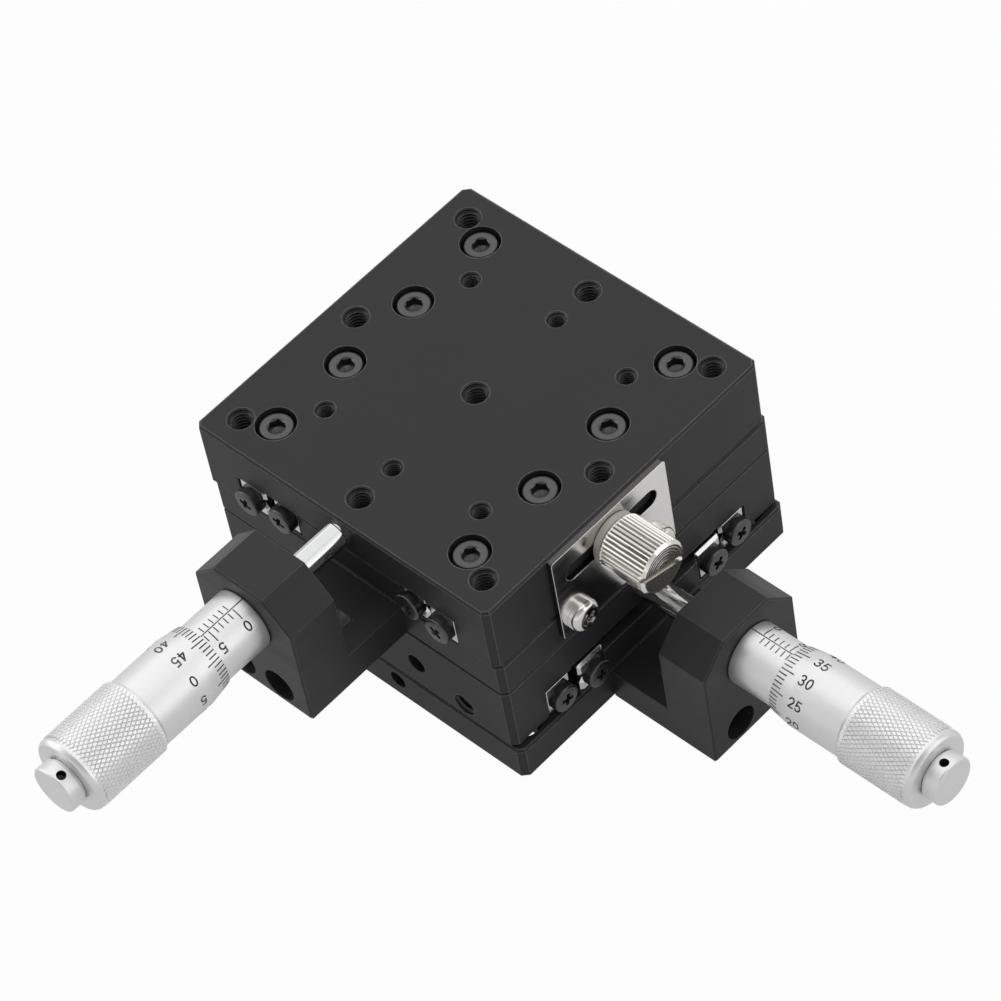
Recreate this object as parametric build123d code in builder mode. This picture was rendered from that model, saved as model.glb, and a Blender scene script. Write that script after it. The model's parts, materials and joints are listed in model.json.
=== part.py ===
from build123d import *
import os
from collections import namedtuple
from math import sqrt

# Two-axis crossed roller stage. Two identical single-axis units are stacked at 90 degrees.
# Each unit is a base plate, a table that slides on two pairs of crossed roller rails, a
# micrometer on a bracket that pushes the table, a return spring and a locking plate.
# Millimetres, +Z up. Origin: centre of the lower base plate's bottom face.
# +X points along the lower axis to its micrometer, and the upper micrometer points to -Y.

os.makedirs("parts", exist_ok=True)

# Plates
plate_side = 60.0
unit_height = 20.0
base_thickness = 6.5
running_gap = 0.5
corner_chamfer = 1.0
rim_chamfer = 0.4

# Travel, and each unit at rest: the micrometer's reading, how far the table is from the middle,
# out to the micrometer, and the lean of the end cap's hole
travel = 13.0
x_reading = 5.84
y_reading = 6.44
x_shift = -0.98
y_shift = 0.55
x_cap_hole_lean = 2.7
y_cap_hole_lean = -20.6

# Crossed roller rails
rail_end_recess = 0.2
rail_height = 6.0
rail_width = 5.5
rail_land_gap = 1.0
rail_chamfer = 0.3
rail_end_chamfer = 0.45
table_side_wall = 7.5
rail_hole_from_back = 2.5
rail_hole_margin = 7.3
rail_hole_count = 4
groove_square = 2.0
relief_width = 0.3
relief_depth = 0.25

# Rollers and cages
roller_fit = 0.01
roller_length = 1.9
roller_pitch = 4.0
roller_count = 11
cage_thickness = 0.4
cage_height = 4.0
cage_window_length = 2.1
cage_window_height = 2.9

# Room between the base and the table
ceiling_clearance = 0.5
ceiling_step_clearance = 0.25
land_clearance = 2.0

# Fasteners: thread, head diameter, head height, size across the hexagon's flats
CapScrew = namedtuple("CapScrew", "thread head_diameter head_height hex_size")
m3 = CapScrew(thread=3.0, head_diameter=5.5, head_height=3.0, hex_size=2.5)
m4 = CapScrew(thread=4.0, head_diameter=7.0, head_height=4.0, hex_size=3.0)
thread_clearance = 0.05
hex_depth_share = 0.5
head_chamfer = 0.25
m3_counterbore_diameter = 6.5
m3_head_recess = 0.5
rail_screw_grip = 4.5
m4_counterbore_diameter = 7.8
m4_head_recess = 0.2
m4_clearance_diameter = 4.5
m3_clearance_diameter = 3.4
joining_screw_length = 8.0

# Holes of the table's top face
m4_edge_margin = 5.0
m4_grid_depth = 6.5
m3_square_pitch = 32.0
m3_pair_pitch = 36.0
m3_hole_depth = 5.5
countersink_width = 0.2

# Holes of the unit's plain side: along the travel, below the table's top, above the base's bottom
spare_table_hole_along = 10.5
spare_table_hole_drop = 7.5
spare_table_hole_diameter = 3.5
spare_base_hole_along = 4.0
spare_base_hole_height = 3.9
spare_base_hole_diameter = 3.2
spare_hole_depth = 5.0

# Preload set screws, which press on the back of one table rail
preload_pitch = 20.0
preload_count = 3
preload_thread = 4.0
preload_length = 4.5
preload_hex_size = 2.0
preload_hex_depth = 2.0

# Pan head screws: those in the rail ends, and those that hold the lock plate
PanScrew = namedtuple("PanScrew", "thread head_diameter head_height length")
stop_screw = PanScrew(thread=2.5, head_diameter=4.7, head_height=1.9, length=4.0)
lock_screw = PanScrew(thread=2.5, head_diameter=5.4, head_height=2.0, length=6.0)
stop_hole_depth = 5.0
pan_edge_share = 0.3

# Micrometer bracket
bracket_width = 20.0
bracket_depth = 20.4
bracket_foot_height = 6.0
bracket_wall = 9.0
bracket_rise = 4.6
bracket_corner = 5.0
bracket_edge = 0.3
bracket_screw_pitch = 8.0
bracket_screw_height = 3.6
bracket_screw_seat = 6.0
bracket_screw_length = 12.0
bracket_counterbore_diameter = 5.9
bracket_tapped_depth = 7.0

# Micrometer
micrometer_drop = 3.0
stem_diameter = 9.5
stem_overhang = 0.5
stem_fit = 0.02
sleeve_diameter = 10.4
sleeve_length = 25.5
spindle_diameter = 4.5
running_fit = 0.05
zero_mark_offset = 2.4
thimble_fit = 0.06
thimble_lip = 0.215
thimble_bevel_length = 3.65
thimble_wall = 0.79
knurl_rise = 0.5
knurl_start = 13.3
knurl_round = 0.4
thimble_length = 27.3
thimble_tail_length = 1.1
thimble_tail_drop = 0.05
thimble_end_wall = 2.8
spindle_tip_chamfer = 0.3
end_cap_neck_diameter = 7.2
end_cap_neck_length = 0.4
end_cap_diameter = 8.0
end_cap_length = 2.6
end_cap_round = 0.4
end_cap_stud_thread = 3.0
end_cap_stud_length = 5.0
spanner_hole_diameter = 1.5
spanner_hole_depth = 2.0

# Anvil button in the table's face
anvil_diameter = 4.0
anvil_seat_depth = 2.5
anvil_overhang = 0.5

# Return spring, in a trough of the base's land
trough_width = 6.0
trough_wall = 1.0
trough_pin_margin = 2.0
spring_pin_diameter = 1.5
base_pin_inset = 8.0
table_pin_inset = 8.8
pin_seat_depth = 3.0
pin_end_clearance = 0.6
spring_wire = 0.5
spring_diameter = 4.0
spring_hook_length = 3.5

# Lock: distances along the travel run away from the micrometer here
lock_centre = -4.85
lock_drop = 5.5
lock_plate_start = -17.7
lock_plate_end = 7.0
lock_plate_bottom = 2.0
lock_plate_drop = 0.3
lock_plate_thickness = 1.0
lock_plate_round = 0.6
lock_plate_clearance = 0.05
lock_slot_centre = -5.4
lock_slot_room = 3.8
lock_slot_width = 3.3
lock_screw_offset = 8.5
lock_screw_height = 4.8
lock_screw_clearance_diameter = 2.9

# Thumb screw of the lock
thumb_collar_diameter = 8.5
thumb_collar_length = 1.2
thumb_clearance = 0.1
thumb_knob_diameter = 9.2
thumb_knob_length = 9.0
thumb_flute_count = 40
thumb_flute_depth = 0.25
thumb_slot_width = 1.0
thumb_slot_depth = 1.2
thumb_slot_angle = -16.0
thumb_shank_reach = 6.0
thumb_tip_clearance = 0.5

# Sizes, heights and places that follow, in each unit's own frame
half_plate = plate_side / 2
m4_grid_pitch = half_plate - m4_edge_margin
rail_length = plate_side - 2 * rail_end_recess
rail_hole_pitch = (rail_length - 2 * rail_hole_margin) / (rail_hole_count - 1)
table_rail_back = half_plate - table_side_wall
rail_bottom = base_thickness + running_gap
rail_top = rail_bottom + rail_height
rail_middle = rail_bottom + rail_height / 2
ceiling = rail_top + ceiling_clearance
land_top = ceiling - land_clearance
groove_line = table_rail_back - rail_width - rail_land_gap / 2
base_rail_back = groove_line - rail_land_gap / 2 - rail_width
base_rail_edge = base_rail_back + rail_width
table_rail_centre = table_rail_back - rail_width / 2
base_rail_centre = base_rail_back + rail_width / 2
table_screw_line = table_rail_back - rail_hole_from_back
base_screw_line = base_rail_back + rail_hole_from_back
trough_floor = base_thickness
spring_height = (trough_floor + land_top) / 2
bracket_face = half_plate + bracket_depth
bracket_wall_start = bracket_face - bracket_wall
bracket_height = unit_height + bracket_rise
micrometer_height = unit_height - micrometer_drop
thimble_bore = sleeve_diameter + 2 * thimble_fit
thimble_front_diameter = thimble_bore + 2 * thimble_lip
thimble_diameter = thimble_bore + 2 * thimble_wall
knurl_diameter = thimble_diameter + 2 * knurl_rise
thimble_tail_diameter = thimble_diameter - 2 * thimble_tail_drop
knurl_end = thimble_length - thimble_tail_length
thimble_bore_depth = thimble_length - thimble_end_wall
spare_table_hole_height = unit_height - spare_table_hole_drop
base_pin_along = half_plate - base_pin_inset
table_pin_along = table_pin_inset - half_plate
lock_height = unit_height - lock_drop
lock_plate_top = unit_height - lock_plate_drop
lock_plate_inner = half_plate + lock_plate_clearance
lock_plate_outer = lock_plate_inner + lock_plate_thickness
lock_slot_length = travel + m3.thread + lock_slot_room


def along(frame, distance):
    """The same frame, moved along the travel, out to the micrometer."""
    return Plane(frame.from_local_coords((distance, 0, 0)), x_dir=frame.x_dir, z_dir=frame.z_dir)


def underside(frame):
    """The frame's bottom face, facing down, with x still along the travel."""
    return Plane(frame.origin, x_dir=frame.x_dir, z_dir=-frame.z_dir)


def facing_out(frame, distance):
    """A plane across the travel that faces the micrometer: its x runs across, its y up."""
    return Plane(frame.from_local_coords((distance, 0, 0)), x_dir=frame.y_dir, z_dir=frame.x_dir)


def facing_back(frame, distance):
    """A plane across the travel that faces away from the micrometer: its y runs up."""
    return Plane(frame.from_local_coords((distance, 0, 0)), x_dir=-frame.y_dir, z_dir=-frame.x_dir)


def plain_side(frame, distance):
    """A plane along the travel that faces the plain side: its x runs out, its y up."""
    return Plane(frame.from_local_coords((0, -distance, 0)), x_dir=frame.x_dir, z_dir=-frame.y_dir)


def lock_side(frame, distance):
    """A plane along the travel that faces the lock's side: its x runs back, its y up."""
    return Plane(frame.from_local_coords((0, distance, 0)), x_dir=-frame.x_dir, z_dir=frame.y_dir)


# Each unit's frames: x runs out to its micrometer, y across, z up
x_base = Plane.XY
x_table = along(x_base, x_shift)
y_base = Plane((x_shift, 0, unit_height), x_dir=(0, -1, 0), z_dir=(0, 0, 1))
y_table = along(y_base, y_shift)

Unit = namedtuple("Unit", "name base table cage reading shift cap_hole_lean")
x_unit = Unit("x", x_base, x_table, along(x_base, x_shift / 2), x_reading, x_shift, x_cap_hole_lean)
y_unit = Unit("y", y_base, y_table, along(y_base, y_shift / 2), y_reading, y_shift, y_cap_hole_lean)


def save(piece, name):
    """Label a finished piece and write its file."""
    piece.label = name
    export_step(piece, f"parts/{name}.step")


def discs(plane, points, diameter):
    """Sketch of equal discs on a plane."""
    with BuildSketch(plane) as section:
        with Locations(*points):
            Circle(diameter / 2)
    return section.sketch


def add_cap_screws(seat, points, screw, length):
    """Socket head cap screws: heads stand on the seat plane, shanks reach below it."""
    extrude(discs(seat, points, screw.head_diameter), amount=screw.head_height)
    chamfer(edges().group_by(Axis(seat.origin, seat.z_dir))[-1], head_chamfer)
    with BuildSketch(seat.offset(screw.head_height)) as sockets:
        with Locations(*points):
            RegularPolygon(screw.hex_size / 2, 6, major_radius=False)
    extrude(sockets.sketch, amount=-screw.head_height * hex_depth_share, mode=Mode.SUBTRACT)
    extrude(discs(seat, points, screw.thread - 2 * thread_clearance), amount=-length)


def add_pan_screws(seat, points, screw):
    """Pan head screws: heads stand on the seat plane, shanks reach below it."""
    extrude(discs(seat, points, screw.head_diameter), amount=screw.head_height)
    rims = edges().group_by(Axis(seat.origin, seat.z_dir))[-1]
    chamfer(rims, screw.head_height * pan_edge_share)
    extrude(discs(seat, points, screw.thread - 2 * thread_clearance), amount=-screw.length)


def cut_holes(plane, points, diameter, depth):
    """Plain holes that run from the plane into the piece."""
    extrude(discs(plane, points, diameter), amount=-depth, mode=Mode.SUBTRACT)


def grid(pitch_x, pitch_y, count_x, count_y):
    """Points of a rectangular pattern about the middle."""
    first_x = -pitch_x * (count_x - 1) / 2
    first_y = -pitch_y * (count_y - 1) / 2
    return [(first_x + pitch_x * i, first_y + pitch_y * j) for i in range(count_x) for j in range(count_y)]


# Places that several pieces share, in the planes named above
table_screw_points = grid(rail_hole_pitch, 2 * table_screw_line, rail_hole_count, 2)
base_screw_points = grid(rail_hole_pitch, 2 * base_screw_line, rail_hole_count, 2)
mounting_points = grid(2 * m4_grid_pitch, 2 * m4_grid_pitch, 2, 2)
bracket_screw_points = grid(bracket_screw_pitch, 0, 2, 1)
bracket_screw_points = [(x, bracket_screw_height) for x, y in bracket_screw_points]
table_stop_points = [(side * table_rail_centre, rail_middle) for side in (-1, 1)]
base_stop_points = [(side * base_rail_centre, rail_middle) for side in (-1, 1)]
preload_points = [(x, rail_middle) for x, y in grid(preload_pitch, 0, preload_count, 1)]
lock_screw_points = [(lock_slot_centre + side * lock_screw_offset, lock_screw_height) for side in (-1, 1)]
lock_point = (lock_centre, lock_height)
lock_slot_point = (lock_slot_centre, lock_height)
anvil_point = (0, micrometer_height)


def add_plate(plane, thickness):
    """Square plate with chamfered corners and rims, its bottom face on the plane."""
    with BuildSketch(plane) as outline:
        Rectangle(plate_side, plate_side)
        chamfer(outline.vertices(), corner_chamfer)
    extrude(outline.sketch, amount=thickness)
    chamfer(faces().filter_by(Axis.Z).edges(), rim_chamfer)


def make_base_plate(unit):
    """Base plate with rail seats, a raised land between the inner rails and a spring trough."""
    frame = unit.base
    top = frame.offset(base_thickness)
    with BuildPart() as base_plate:
        add_plate(frame, base_thickness)
        with BuildSketch(top):
            Rectangle(rail_length, 2 * base_rail_edge)
        extrude(amount=running_gap)
        with BuildSketch(top):
            Rectangle(rail_length, 2 * base_rail_back)
        extrude(amount=land_top - base_thickness)
        trough_start = -half_plate + trough_wall
        trough_end = base_pin_along + trough_pin_margin
        with BuildSketch(frame.offset(land_top)):
            with Locations(((trough_start + trough_end) / 2, 0)):
                Rectangle(trough_end - trough_start, trough_width)
        extrude(amount=trough_floor - land_top, mode=Mode.SUBTRACT)
        cut_holes(frame.offset(trough_floor), [(base_pin_along, 0)], spring_pin_diameter, pin_seat_depth)
        head_room = m3.head_height + m3_head_recess
        mirrored = [(x, -y) for x, y in base_screw_points]
        cut_holes(underside(frame), mirrored, m3_counterbore_diameter, head_room)
        cut_holes(underside(frame), mirrored, m3_clearance_diameter, rail_bottom)
        cut_holes(top, mounting_points, m4_counterbore_diameter, m4.head_height + m4_head_recess)
        cut_holes(top, mounting_points, m4_clearance_diameter, base_thickness)
        cut_holes(facing_out(frame, half_plate), bracket_screw_points, m3.thread, bracket_tapped_depth)
        lock_face = lock_side(frame, half_plate)
        cut_holes(lock_face, lock_screw_points, lock_screw.thread, lock_screw.length)
        spare_point = (spare_base_hole_along, spare_base_hole_height)
        spare_face = plain_side(frame, half_plate)
        cut_holes(spare_face, [spare_point], spare_base_hole_diameter, spare_hole_depth)
    save(base_plate.part, f"{unit.name}_base_plate")


def make_table_plate(unit):
    """Table plate: a channel below for the rails, tapped and counterbored holes above."""
    frame = unit.table
    top = frame.offset(unit_height)
    bottom = frame.offset(rail_bottom)
    with BuildPart() as table_plate:
        add_plate(bottom, unit_height - rail_bottom)
        with BuildSketch(bottom):
            Rectangle(plate_side, 2 * table_rail_back)
        extrude(amount=rail_height, mode=Mode.SUBTRACT)
        step_edge = groove_line + ceiling_step_clearance
        with BuildSketch(bottom):
            Rectangle(plate_side, 2 * step_edge)
        extrude(amount=rail_height + ceiling_clearance, mode=Mode.SUBTRACT)
        head_room = m3.head_height + m3_head_recess
        cut_holes(top, table_screw_points, m3_counterbore_diameter, head_room)
        cut_holes(top, table_screw_points, m3_clearance_diameter, unit_height - rail_top)
        m4_points = grid(m4_grid_pitch, m4_grid_pitch, 3, 3)
        m3_points = grid(m3_square_pitch, m3_square_pitch, 2, 2) + grid(m3_pair_pitch, 0, 2, 1)
        cut_holes(top, m4_points, m4.thread, m4_grid_depth)
        cut_holes(top, m3_points, m3.thread, m3_hole_depth)
        add_countersinks(top, m4_points, m4.thread)
        add_countersinks(top, m3_points, m3.thread)
        plain_face = plain_side(frame, half_plate)
        wall = half_plate - table_rail_back
        cut_holes(plain_face, preload_points, preload_thread, wall)
        spare_point = (spare_table_hole_along, spare_table_hole_height)
        cut_holes(plain_face, [spare_point], spare_table_hole_diameter, spare_hole_depth)
        cut_holes(lock_side(frame, half_plate), [lock_point], m3.thread, thumb_shank_reach)
        cut_holes(facing_out(frame, half_plate), [anvil_point], anvil_diameter, anvil_seat_depth)
        cut_holes(frame.offset(ceiling), [(table_pin_along, 0)], spring_pin_diameter, -pin_seat_depth)
    save(table_plate.part, f"{unit.name}_table_plate")


def add_countersinks(plane, points, thread):
    """Small conical countersinks at the mouths of tapped holes."""
    mouths = discs(plane.offset(-countersink_width), points, thread)
    extrude(mouths, amount=countersink_width, taper=-45, mode=Mode.SUBTRACT)


def rail_section(plane, centre):
    """Section of one left and one right rail, with the V grooves that face the rollers."""
    with BuildSketch(plane) as section:
        for side in (-1, 1):
            with Locations((side * centre, rail_middle)):
                Rectangle(rail_width, rail_height)
        chamfer(section.vertices(), rail_chamfer)
        for side in (-1, 1):
            with Locations((side * groove_line, rail_middle)):
                Rectangle(groove_square, groove_square, rotation=45, mode=Mode.SUBTRACT)
    return section.sketch


def relief_section(plane):
    """Narrow slots at the bottoms of the V grooves."""
    with BuildSketch(plane) as section:
        with Locations((-groove_line, rail_middle), (groove_line, rail_middle)):
            Rectangle(groove_square * sqrt(2) + 2 * relief_depth, relief_width)
    return section.sketch


def make_rails(unit, frame, name, centre, screw_line, stop_points):
    """A pair of rails with their fixing holes and the end holes of the stop screws."""
    start = facing_out(frame, -rail_length / 2)
    with BuildPart() as rails:
        extrude(rail_section(start, centre), amount=rail_length)
        chamfer(faces().filter_by(Axis(frame.origin, frame.x_dir)).edges(), rail_end_chamfer)
        extrude(relief_section(start), amount=rail_length, mode=Mode.SUBTRACT)
        screw_points = grid(rail_hole_pitch, 2 * screw_line, rail_hole_count, 2)
        cut_holes(frame.offset(rail_top), screw_points, m3.thread, rail_height)
        for end in (facing_out(frame, rail_length / 2), facing_back(frame, -rail_length / 2)):
            cut_holes(end, stop_points, stop_screw.thread, stop_hole_depth)
    save(rails.part, f"{unit.name}_{name}")


def make_stop_screws(unit, frame, name, points):
    """Pan head screws in both ends of a pair of rails."""
    with BuildPart() as stop_screws:
        for seat in (facing_out(frame, rail_length / 2), facing_back(frame, -rail_length / 2)):
            add_pan_screws(seat, points, stop_screw)
    save(stop_screws.part, f"{unit.name}_{name}")


def make_rail_screws(unit):
    """Cap screws that hold the base rails from below and the table rails from above."""
    with BuildPart() as base_rail_screws:
        head_room = m3.head_height + m3_head_recess
        seat = underside(unit.base).offset(-head_room)
        add_cap_screws(seat, base_screw_points, m3, rail_bottom - head_room + rail_screw_grip)
    save(base_rail_screws.part, f"{unit.name}_base_rail_screws")

    with BuildPart() as table_rail_screws:
        seat = unit.table.offset(unit_height - head_room)
        add_cap_screws(seat, table_screw_points, m3, unit_height - head_room - rail_top + rail_screw_grip)
    save(table_rail_screws.part, f"{unit.name}_table_rail_screws")


def make_preload_screws(unit):
    """Set screws that press on the back of one table rail, with a hexagon in the outer end."""
    with BuildPart() as preload_screws:
        with BuildSketch(plain_side(unit.table, table_rail_back)):
            with Locations(*preload_points):
                Circle(preload_thread / 2 - thread_clearance)
        extrude(amount=preload_length)
        with BuildSketch(plain_side(unit.table, table_rail_back + preload_length)):
            with Locations(*preload_points):
                RegularPolygon(preload_hex_size / 2, 6, major_radius=False)
        extrude(amount=-preload_hex_depth, mode=Mode.SUBTRACT)
    save(preload_screws.part, f"{unit.name}_preload_screws")


def make_cage(unit, side, side_name):
    """Cage strip between one pair of rails, and its rollers, each crossed with the next."""
    frame = unit.cage
    row = grid(roller_pitch, 0, roller_count, 1)
    with BuildPart() as cage:
        strip_plane = plain_side(frame, -side * groove_line - cage_thickness / 2)
        with BuildSketch(strip_plane):
            with Locations((0, rail_middle)):
                Rectangle(roller_pitch * roller_count, cage_height)
            with Locations(*[(x, rail_middle) for x, y in row]):
                Rectangle(cage_window_length, cage_window_height, mode=Mode.SUBTRACT)
        extrude(amount=cage_thickness)
    save(cage.part, f"{unit.name}_{side_name}_cage")

    middle = frame.from_local_coords((0, side * groove_line, rail_middle))
    with BuildPart() as rollers:
        for lean, first in ((1, 0), (-1, 1)):
            axis = (frame.y_dir * lean + frame.z_dir).normalized()
            with BuildSketch(Plane(middle - axis * (roller_length / 2), x_dir=frame.x_dir, z_dir=axis)):
                with Locations(*row[first::2]):
                    Circle(groove_square / 2 - roller_fit)
            extrude(amount=roller_length)
    save(rollers.part, f"{unit.name}_{side_name}_rollers")


def make_bracket(unit):
    """Angle bracket: a foot against the base plate and a chamfered wall for the micrometer."""
    frame = unit.base
    with BuildPart() as bracket:
        foot_middle = (half_plate + bracket_face) / 2
        with BuildSketch(along(frame, foot_middle)):
            Rectangle(bracket_depth, bracket_width)
        extrude(amount=bracket_foot_height)
        with BuildSketch(facing_out(frame, bracket_wall_start)):
            with Locations((0, bracket_height / 2)):
                Rectangle(bracket_width, bracket_height)
            chamfer(vertices().group_by(Axis.Y)[-1], bracket_corner)
        extrude(amount=bracket_wall)
        wall_faces = faces().filter_by(Axis(frame.origin, frame.x_dir))
        chamfer(wall_faces.sort_by(Axis(frame.origin, frame.x_dir))[-1].edges(), bracket_edge)
        front = facing_out(frame, bracket_face)
        cut_holes(front, [(0, micrometer_height)], stem_diameter + 2 * stem_fit, bracket_wall)
        seat_depth = bracket_depth - bracket_screw_seat
        cut_holes(front, bracket_screw_points, bracket_counterbore_diameter, seat_depth)
        cut_holes(front, bracket_screw_points, m3_clearance_diameter, bracket_depth)
    save(bracket.part, f"{unit.name}_bracket")

    with BuildPart() as bracket_screws:
        seat = facing_out(frame, half_plate + bracket_screw_seat)
        add_cap_screws(seat, bracket_screw_points, m3, bracket_screw_length)
    save(bracket_screws.part, f"{unit.name}_bracket_screws")


def turned(plane, steps):
    """Half section of a turned piece: each step is its start, its length and its diameter."""
    with BuildSketch(plane) as section:
        for start, length, diameter in steps:
            with Locations((start, 0)):
                Rectangle(length, diameter / 2, align=(Align.MIN, Align.MIN))
    return section.sketch


def make_micrometer(unit):
    """Micrometer: sleeve fixed in the bracket, and the spindle, thimble and end cap that turn."""
    frame = unit.base
    axis_plane = plain_side(frame.offset(micrometer_height), 0)
    turning_axis = Axis(axis_plane.origin, axis_plane.x_dir)
    thimble_front = bracket_face + zero_mark_offset + unit.reading
    sleeve_end = bracket_face + sleeve_length
    stem_start = bracket_wall_start - stem_overhang

    with BuildPart() as sleeve:
        stem = (stem_start, bracket_face - stem_start, stem_diameter)
        barrel = (bracket_face, sleeve_length, sleeve_diameter)
        revolve(turned(axis_plane, [stem, barrel]), axis=turning_axis)
        bore = facing_out(frame, sleeve_end)
        bore_diameter = spindle_diameter + 2 * running_fit
        cut_holes(bore, [(0, micrometer_height)], bore_diameter, sleeve_end - stem_start)
    save(sleeve.part, f"{unit.name}_sleeve")

    with BuildPart() as thimble:
        bevel_end = (thimble_bevel_length, thimble_diameter / 2)
        with BuildSketch(Plane(axis_plane.from_local_coords((thimble_front, 0, 0)), x_dir=axis_plane.x_dir,
                               z_dir=axis_plane.z_dir)):
            with BuildLine():
                Polyline((0, 0), (0, thimble_front_diameter / 2), bevel_end,
                         (knurl_start, thimble_diameter / 2), (knurl_start, knurl_diameter / 2),
                         (knurl_end, knurl_diameter / 2), (thimble_length, thimble_tail_diameter / 2),
                         (thimble_length, 0), close=True)
            make_face()
            knurl_corners = vertices().filter_by_position(Axis.Y, knurl_diameter / 2 - 0.01, knurl_diameter)
            fillet(knurl_corners, knurl_round)
        revolve(axis=turning_axis)
        front = facing_back(frame, thimble_front)
        cut_holes(front, [(0, micrometer_height)], thimble_bore, thimble_bore_depth)
        cut_holes(front, [(0, micrometer_height)], spindle_diameter + 2 * stem_fit, thimble_length)
    save(thimble.part, f"{unit.name}_thimble")

    with BuildPart() as spindle:
        tip = half_plate + anvil_overhang + unit.shift
        tail = thimble_front + thimble_length
        revolve(turned(axis_plane, [(tip, tail - tip, spindle_diameter)]), axis=turning_axis)
        chamfer(edges().sort_by(Axis(frame.origin, frame.x_dir))[0], spindle_tip_chamfer)
        cut_holes(facing_out(frame, tail), [(0, micrometer_height)], end_cap_stud_thread, end_cap_stud_length)
    save(spindle.part, f"{unit.name}_spindle")

    with BuildPart() as end_cap:
        neck = (tail, end_cap_neck_length, end_cap_neck_diameter)
        stud = (tail - end_cap_stud_length, end_cap_stud_length, end_cap_stud_thread - 2 * thread_clearance)
        head = (tail + end_cap_neck_length, end_cap_length, end_cap_diameter)
        revolve(turned(axis_plane, [stud, neck, head]), axis=turning_axis)
        fillet(edges().sort_by(Axis(frame.origin, frame.x_dir))[-1], end_cap_round)
        hole_along = tail + end_cap_neck_length + end_cap_length / 2
        hole_axis_plane = along(frame, hole_along).offset(micrometer_height)
        hole_axis_plane = hole_axis_plane.rotated((unit.cap_hole_lean, 0, 0))
        hole_mouth = hole_axis_plane.offset(end_cap_diameter / 2)
        cut_holes(hole_mouth, [(0, 0)], spanner_hole_diameter, spanner_hole_depth)
    save(end_cap.part, f"{unit.name}_end_cap")

    with BuildPart() as anvil:
        anvil_seat = facing_out(unit.table, half_plate - anvil_seat_depth)
        with BuildSketch(anvil_seat):
            with Locations(anvil_point):
                Circle(anvil_diameter / 2 - thread_clearance)
        extrude(amount=anvil_seat_depth + anvil_overhang)
    save(anvil.part, f"{unit.name}_anvil")


def make_spring(unit):
    """Return spring between a pin in the base and a pin in the table, both in the trough."""
    pin_radius = spring_pin_diameter / 2 - stem_fit
    with BuildPart() as base_spring_pin:
        with BuildSketch(unit.base.offset(trough_floor - pin_seat_depth)):
            with Locations((base_pin_along, 0)):
                Circle(pin_radius)
        extrude(amount=pin_seat_depth + land_top - trough_floor)
    save(base_spring_pin.part, f"{unit.name}_base_spring_pin")

    with BuildPart() as table_spring_pin:
        pin_bottom = trough_floor + pin_end_clearance
        with BuildSketch(unit.table.offset(pin_bottom)):
            with Locations((table_pin_along, 0)):
                Circle(pin_radius)
        extrude(amount=ceiling + pin_seat_depth - pin_bottom)
    save(table_spring_pin.part, f"{unit.name}_table_spring_pin")

    with BuildPart() as spring:
        hook_bottom = unit.base.offset(spring_height - spring_wire / 2)
        table_hook = table_pin_along + unit.shift
        with BuildSketch(hook_bottom):
            for pin, inward in ((table_hook, 1), (base_pin_along, -1)):
                eye_outer = spring_pin_diameter / 2 + running_fit + spring_wire
                with Locations((pin + inward * spring_hook_length / 2, 0)):
                    Rectangle(spring_hook_length + spring_wire, spring_wire)
                with Locations((pin, 0)):
                    Circle(eye_outer)
                    Circle(eye_outer - spring_wire, mode=Mode.SUBTRACT)
        extrude(amount=spring_wire)
        coil_start = table_hook + spring_hook_length
        coil_length = base_pin_along - spring_hook_length - coil_start
        coil_face = facing_out(unit.base, coil_start)
        with BuildSketch(coil_face):
            with Locations((0, spring_height)):
                Circle(spring_diameter / 2)
        extrude(amount=coil_length)
    save(spring.part, f"{unit.name}_spring")


def make_lock(unit):
    """Lock: a slotted plate held on the base, and a thumb screw that clamps the table to it."""
    inner_face = lock_side(unit.base, lock_plate_inner)
    outer_face = lock_side(unit.base, lock_plate_outer)
    plate_middle_x = (lock_plate_start + lock_plate_end) / 2
    plate_middle_y = (lock_plate_bottom + lock_plate_top) / 2
    with BuildPart() as lock_plate:
        with BuildSketch(inner_face):
            with Locations((plate_middle_x, plate_middle_y)):
                plate_width = lock_plate_end - lock_plate_start
                RectangleRounded(plate_width, lock_plate_top - lock_plate_bottom, lock_plate_round)
            with Locations(lock_slot_point):
                SlotOverall(lock_slot_length, lock_slot_width, mode=Mode.SUBTRACT)
            with Locations(*lock_screw_points):
                Circle(lock_screw_clearance_diameter / 2, mode=Mode.SUBTRACT)
        extrude(amount=lock_plate_thickness)
    save(lock_plate.part, f"{unit.name}_lock_plate")

    with BuildPart() as lock_plate_screws:
        add_pan_screws(outer_face, lock_screw_points, lock_screw)
    save(lock_plate_screws.part, f"{unit.name}_lock_plate_screws")

    collar_face = lock_side(unit.table, lock_plate_outer + thumb_clearance)
    flute_side = thumb_flute_depth * sqrt(2)
    with BuildPart() as thumb_screw:
        with BuildSketch(collar_face):
            with Locations(lock_point):
                Circle(thumb_collar_diameter / 2)
        extrude(amount=thumb_collar_length)
        with BuildSketch(collar_face.offset(thumb_collar_length)):
            with Locations(lock_point):
                Circle(thumb_knob_diameter / 2)
                with PolarLocations(thumb_knob_diameter / 2, thumb_flute_count):
                    Rectangle(flute_side, flute_side, rotation=45, mode=Mode.SUBTRACT)
        extrude(amount=thumb_knob_length)
        outer_end = collar_face.offset(thumb_collar_length + thumb_knob_length)
        with BuildSketch(outer_end):
            with Locations(lock_point):
                Rectangle(thumb_knob_diameter, thumb_slot_width, rotation=thumb_slot_angle)
        extrude(amount=-thumb_slot_depth, mode=Mode.SUBTRACT)
        with BuildSketch(collar_face):
            with Locations(lock_point):
                Circle(m3.thread / 2 - thread_clearance)
        shank_length = lock_plate_outer + thumb_clearance - half_plate + thumb_shank_reach
        extrude(amount=-shank_length + thumb_tip_clearance)
    save(thumb_screw.part, f"{unit.name}_thumb_screw")


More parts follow.
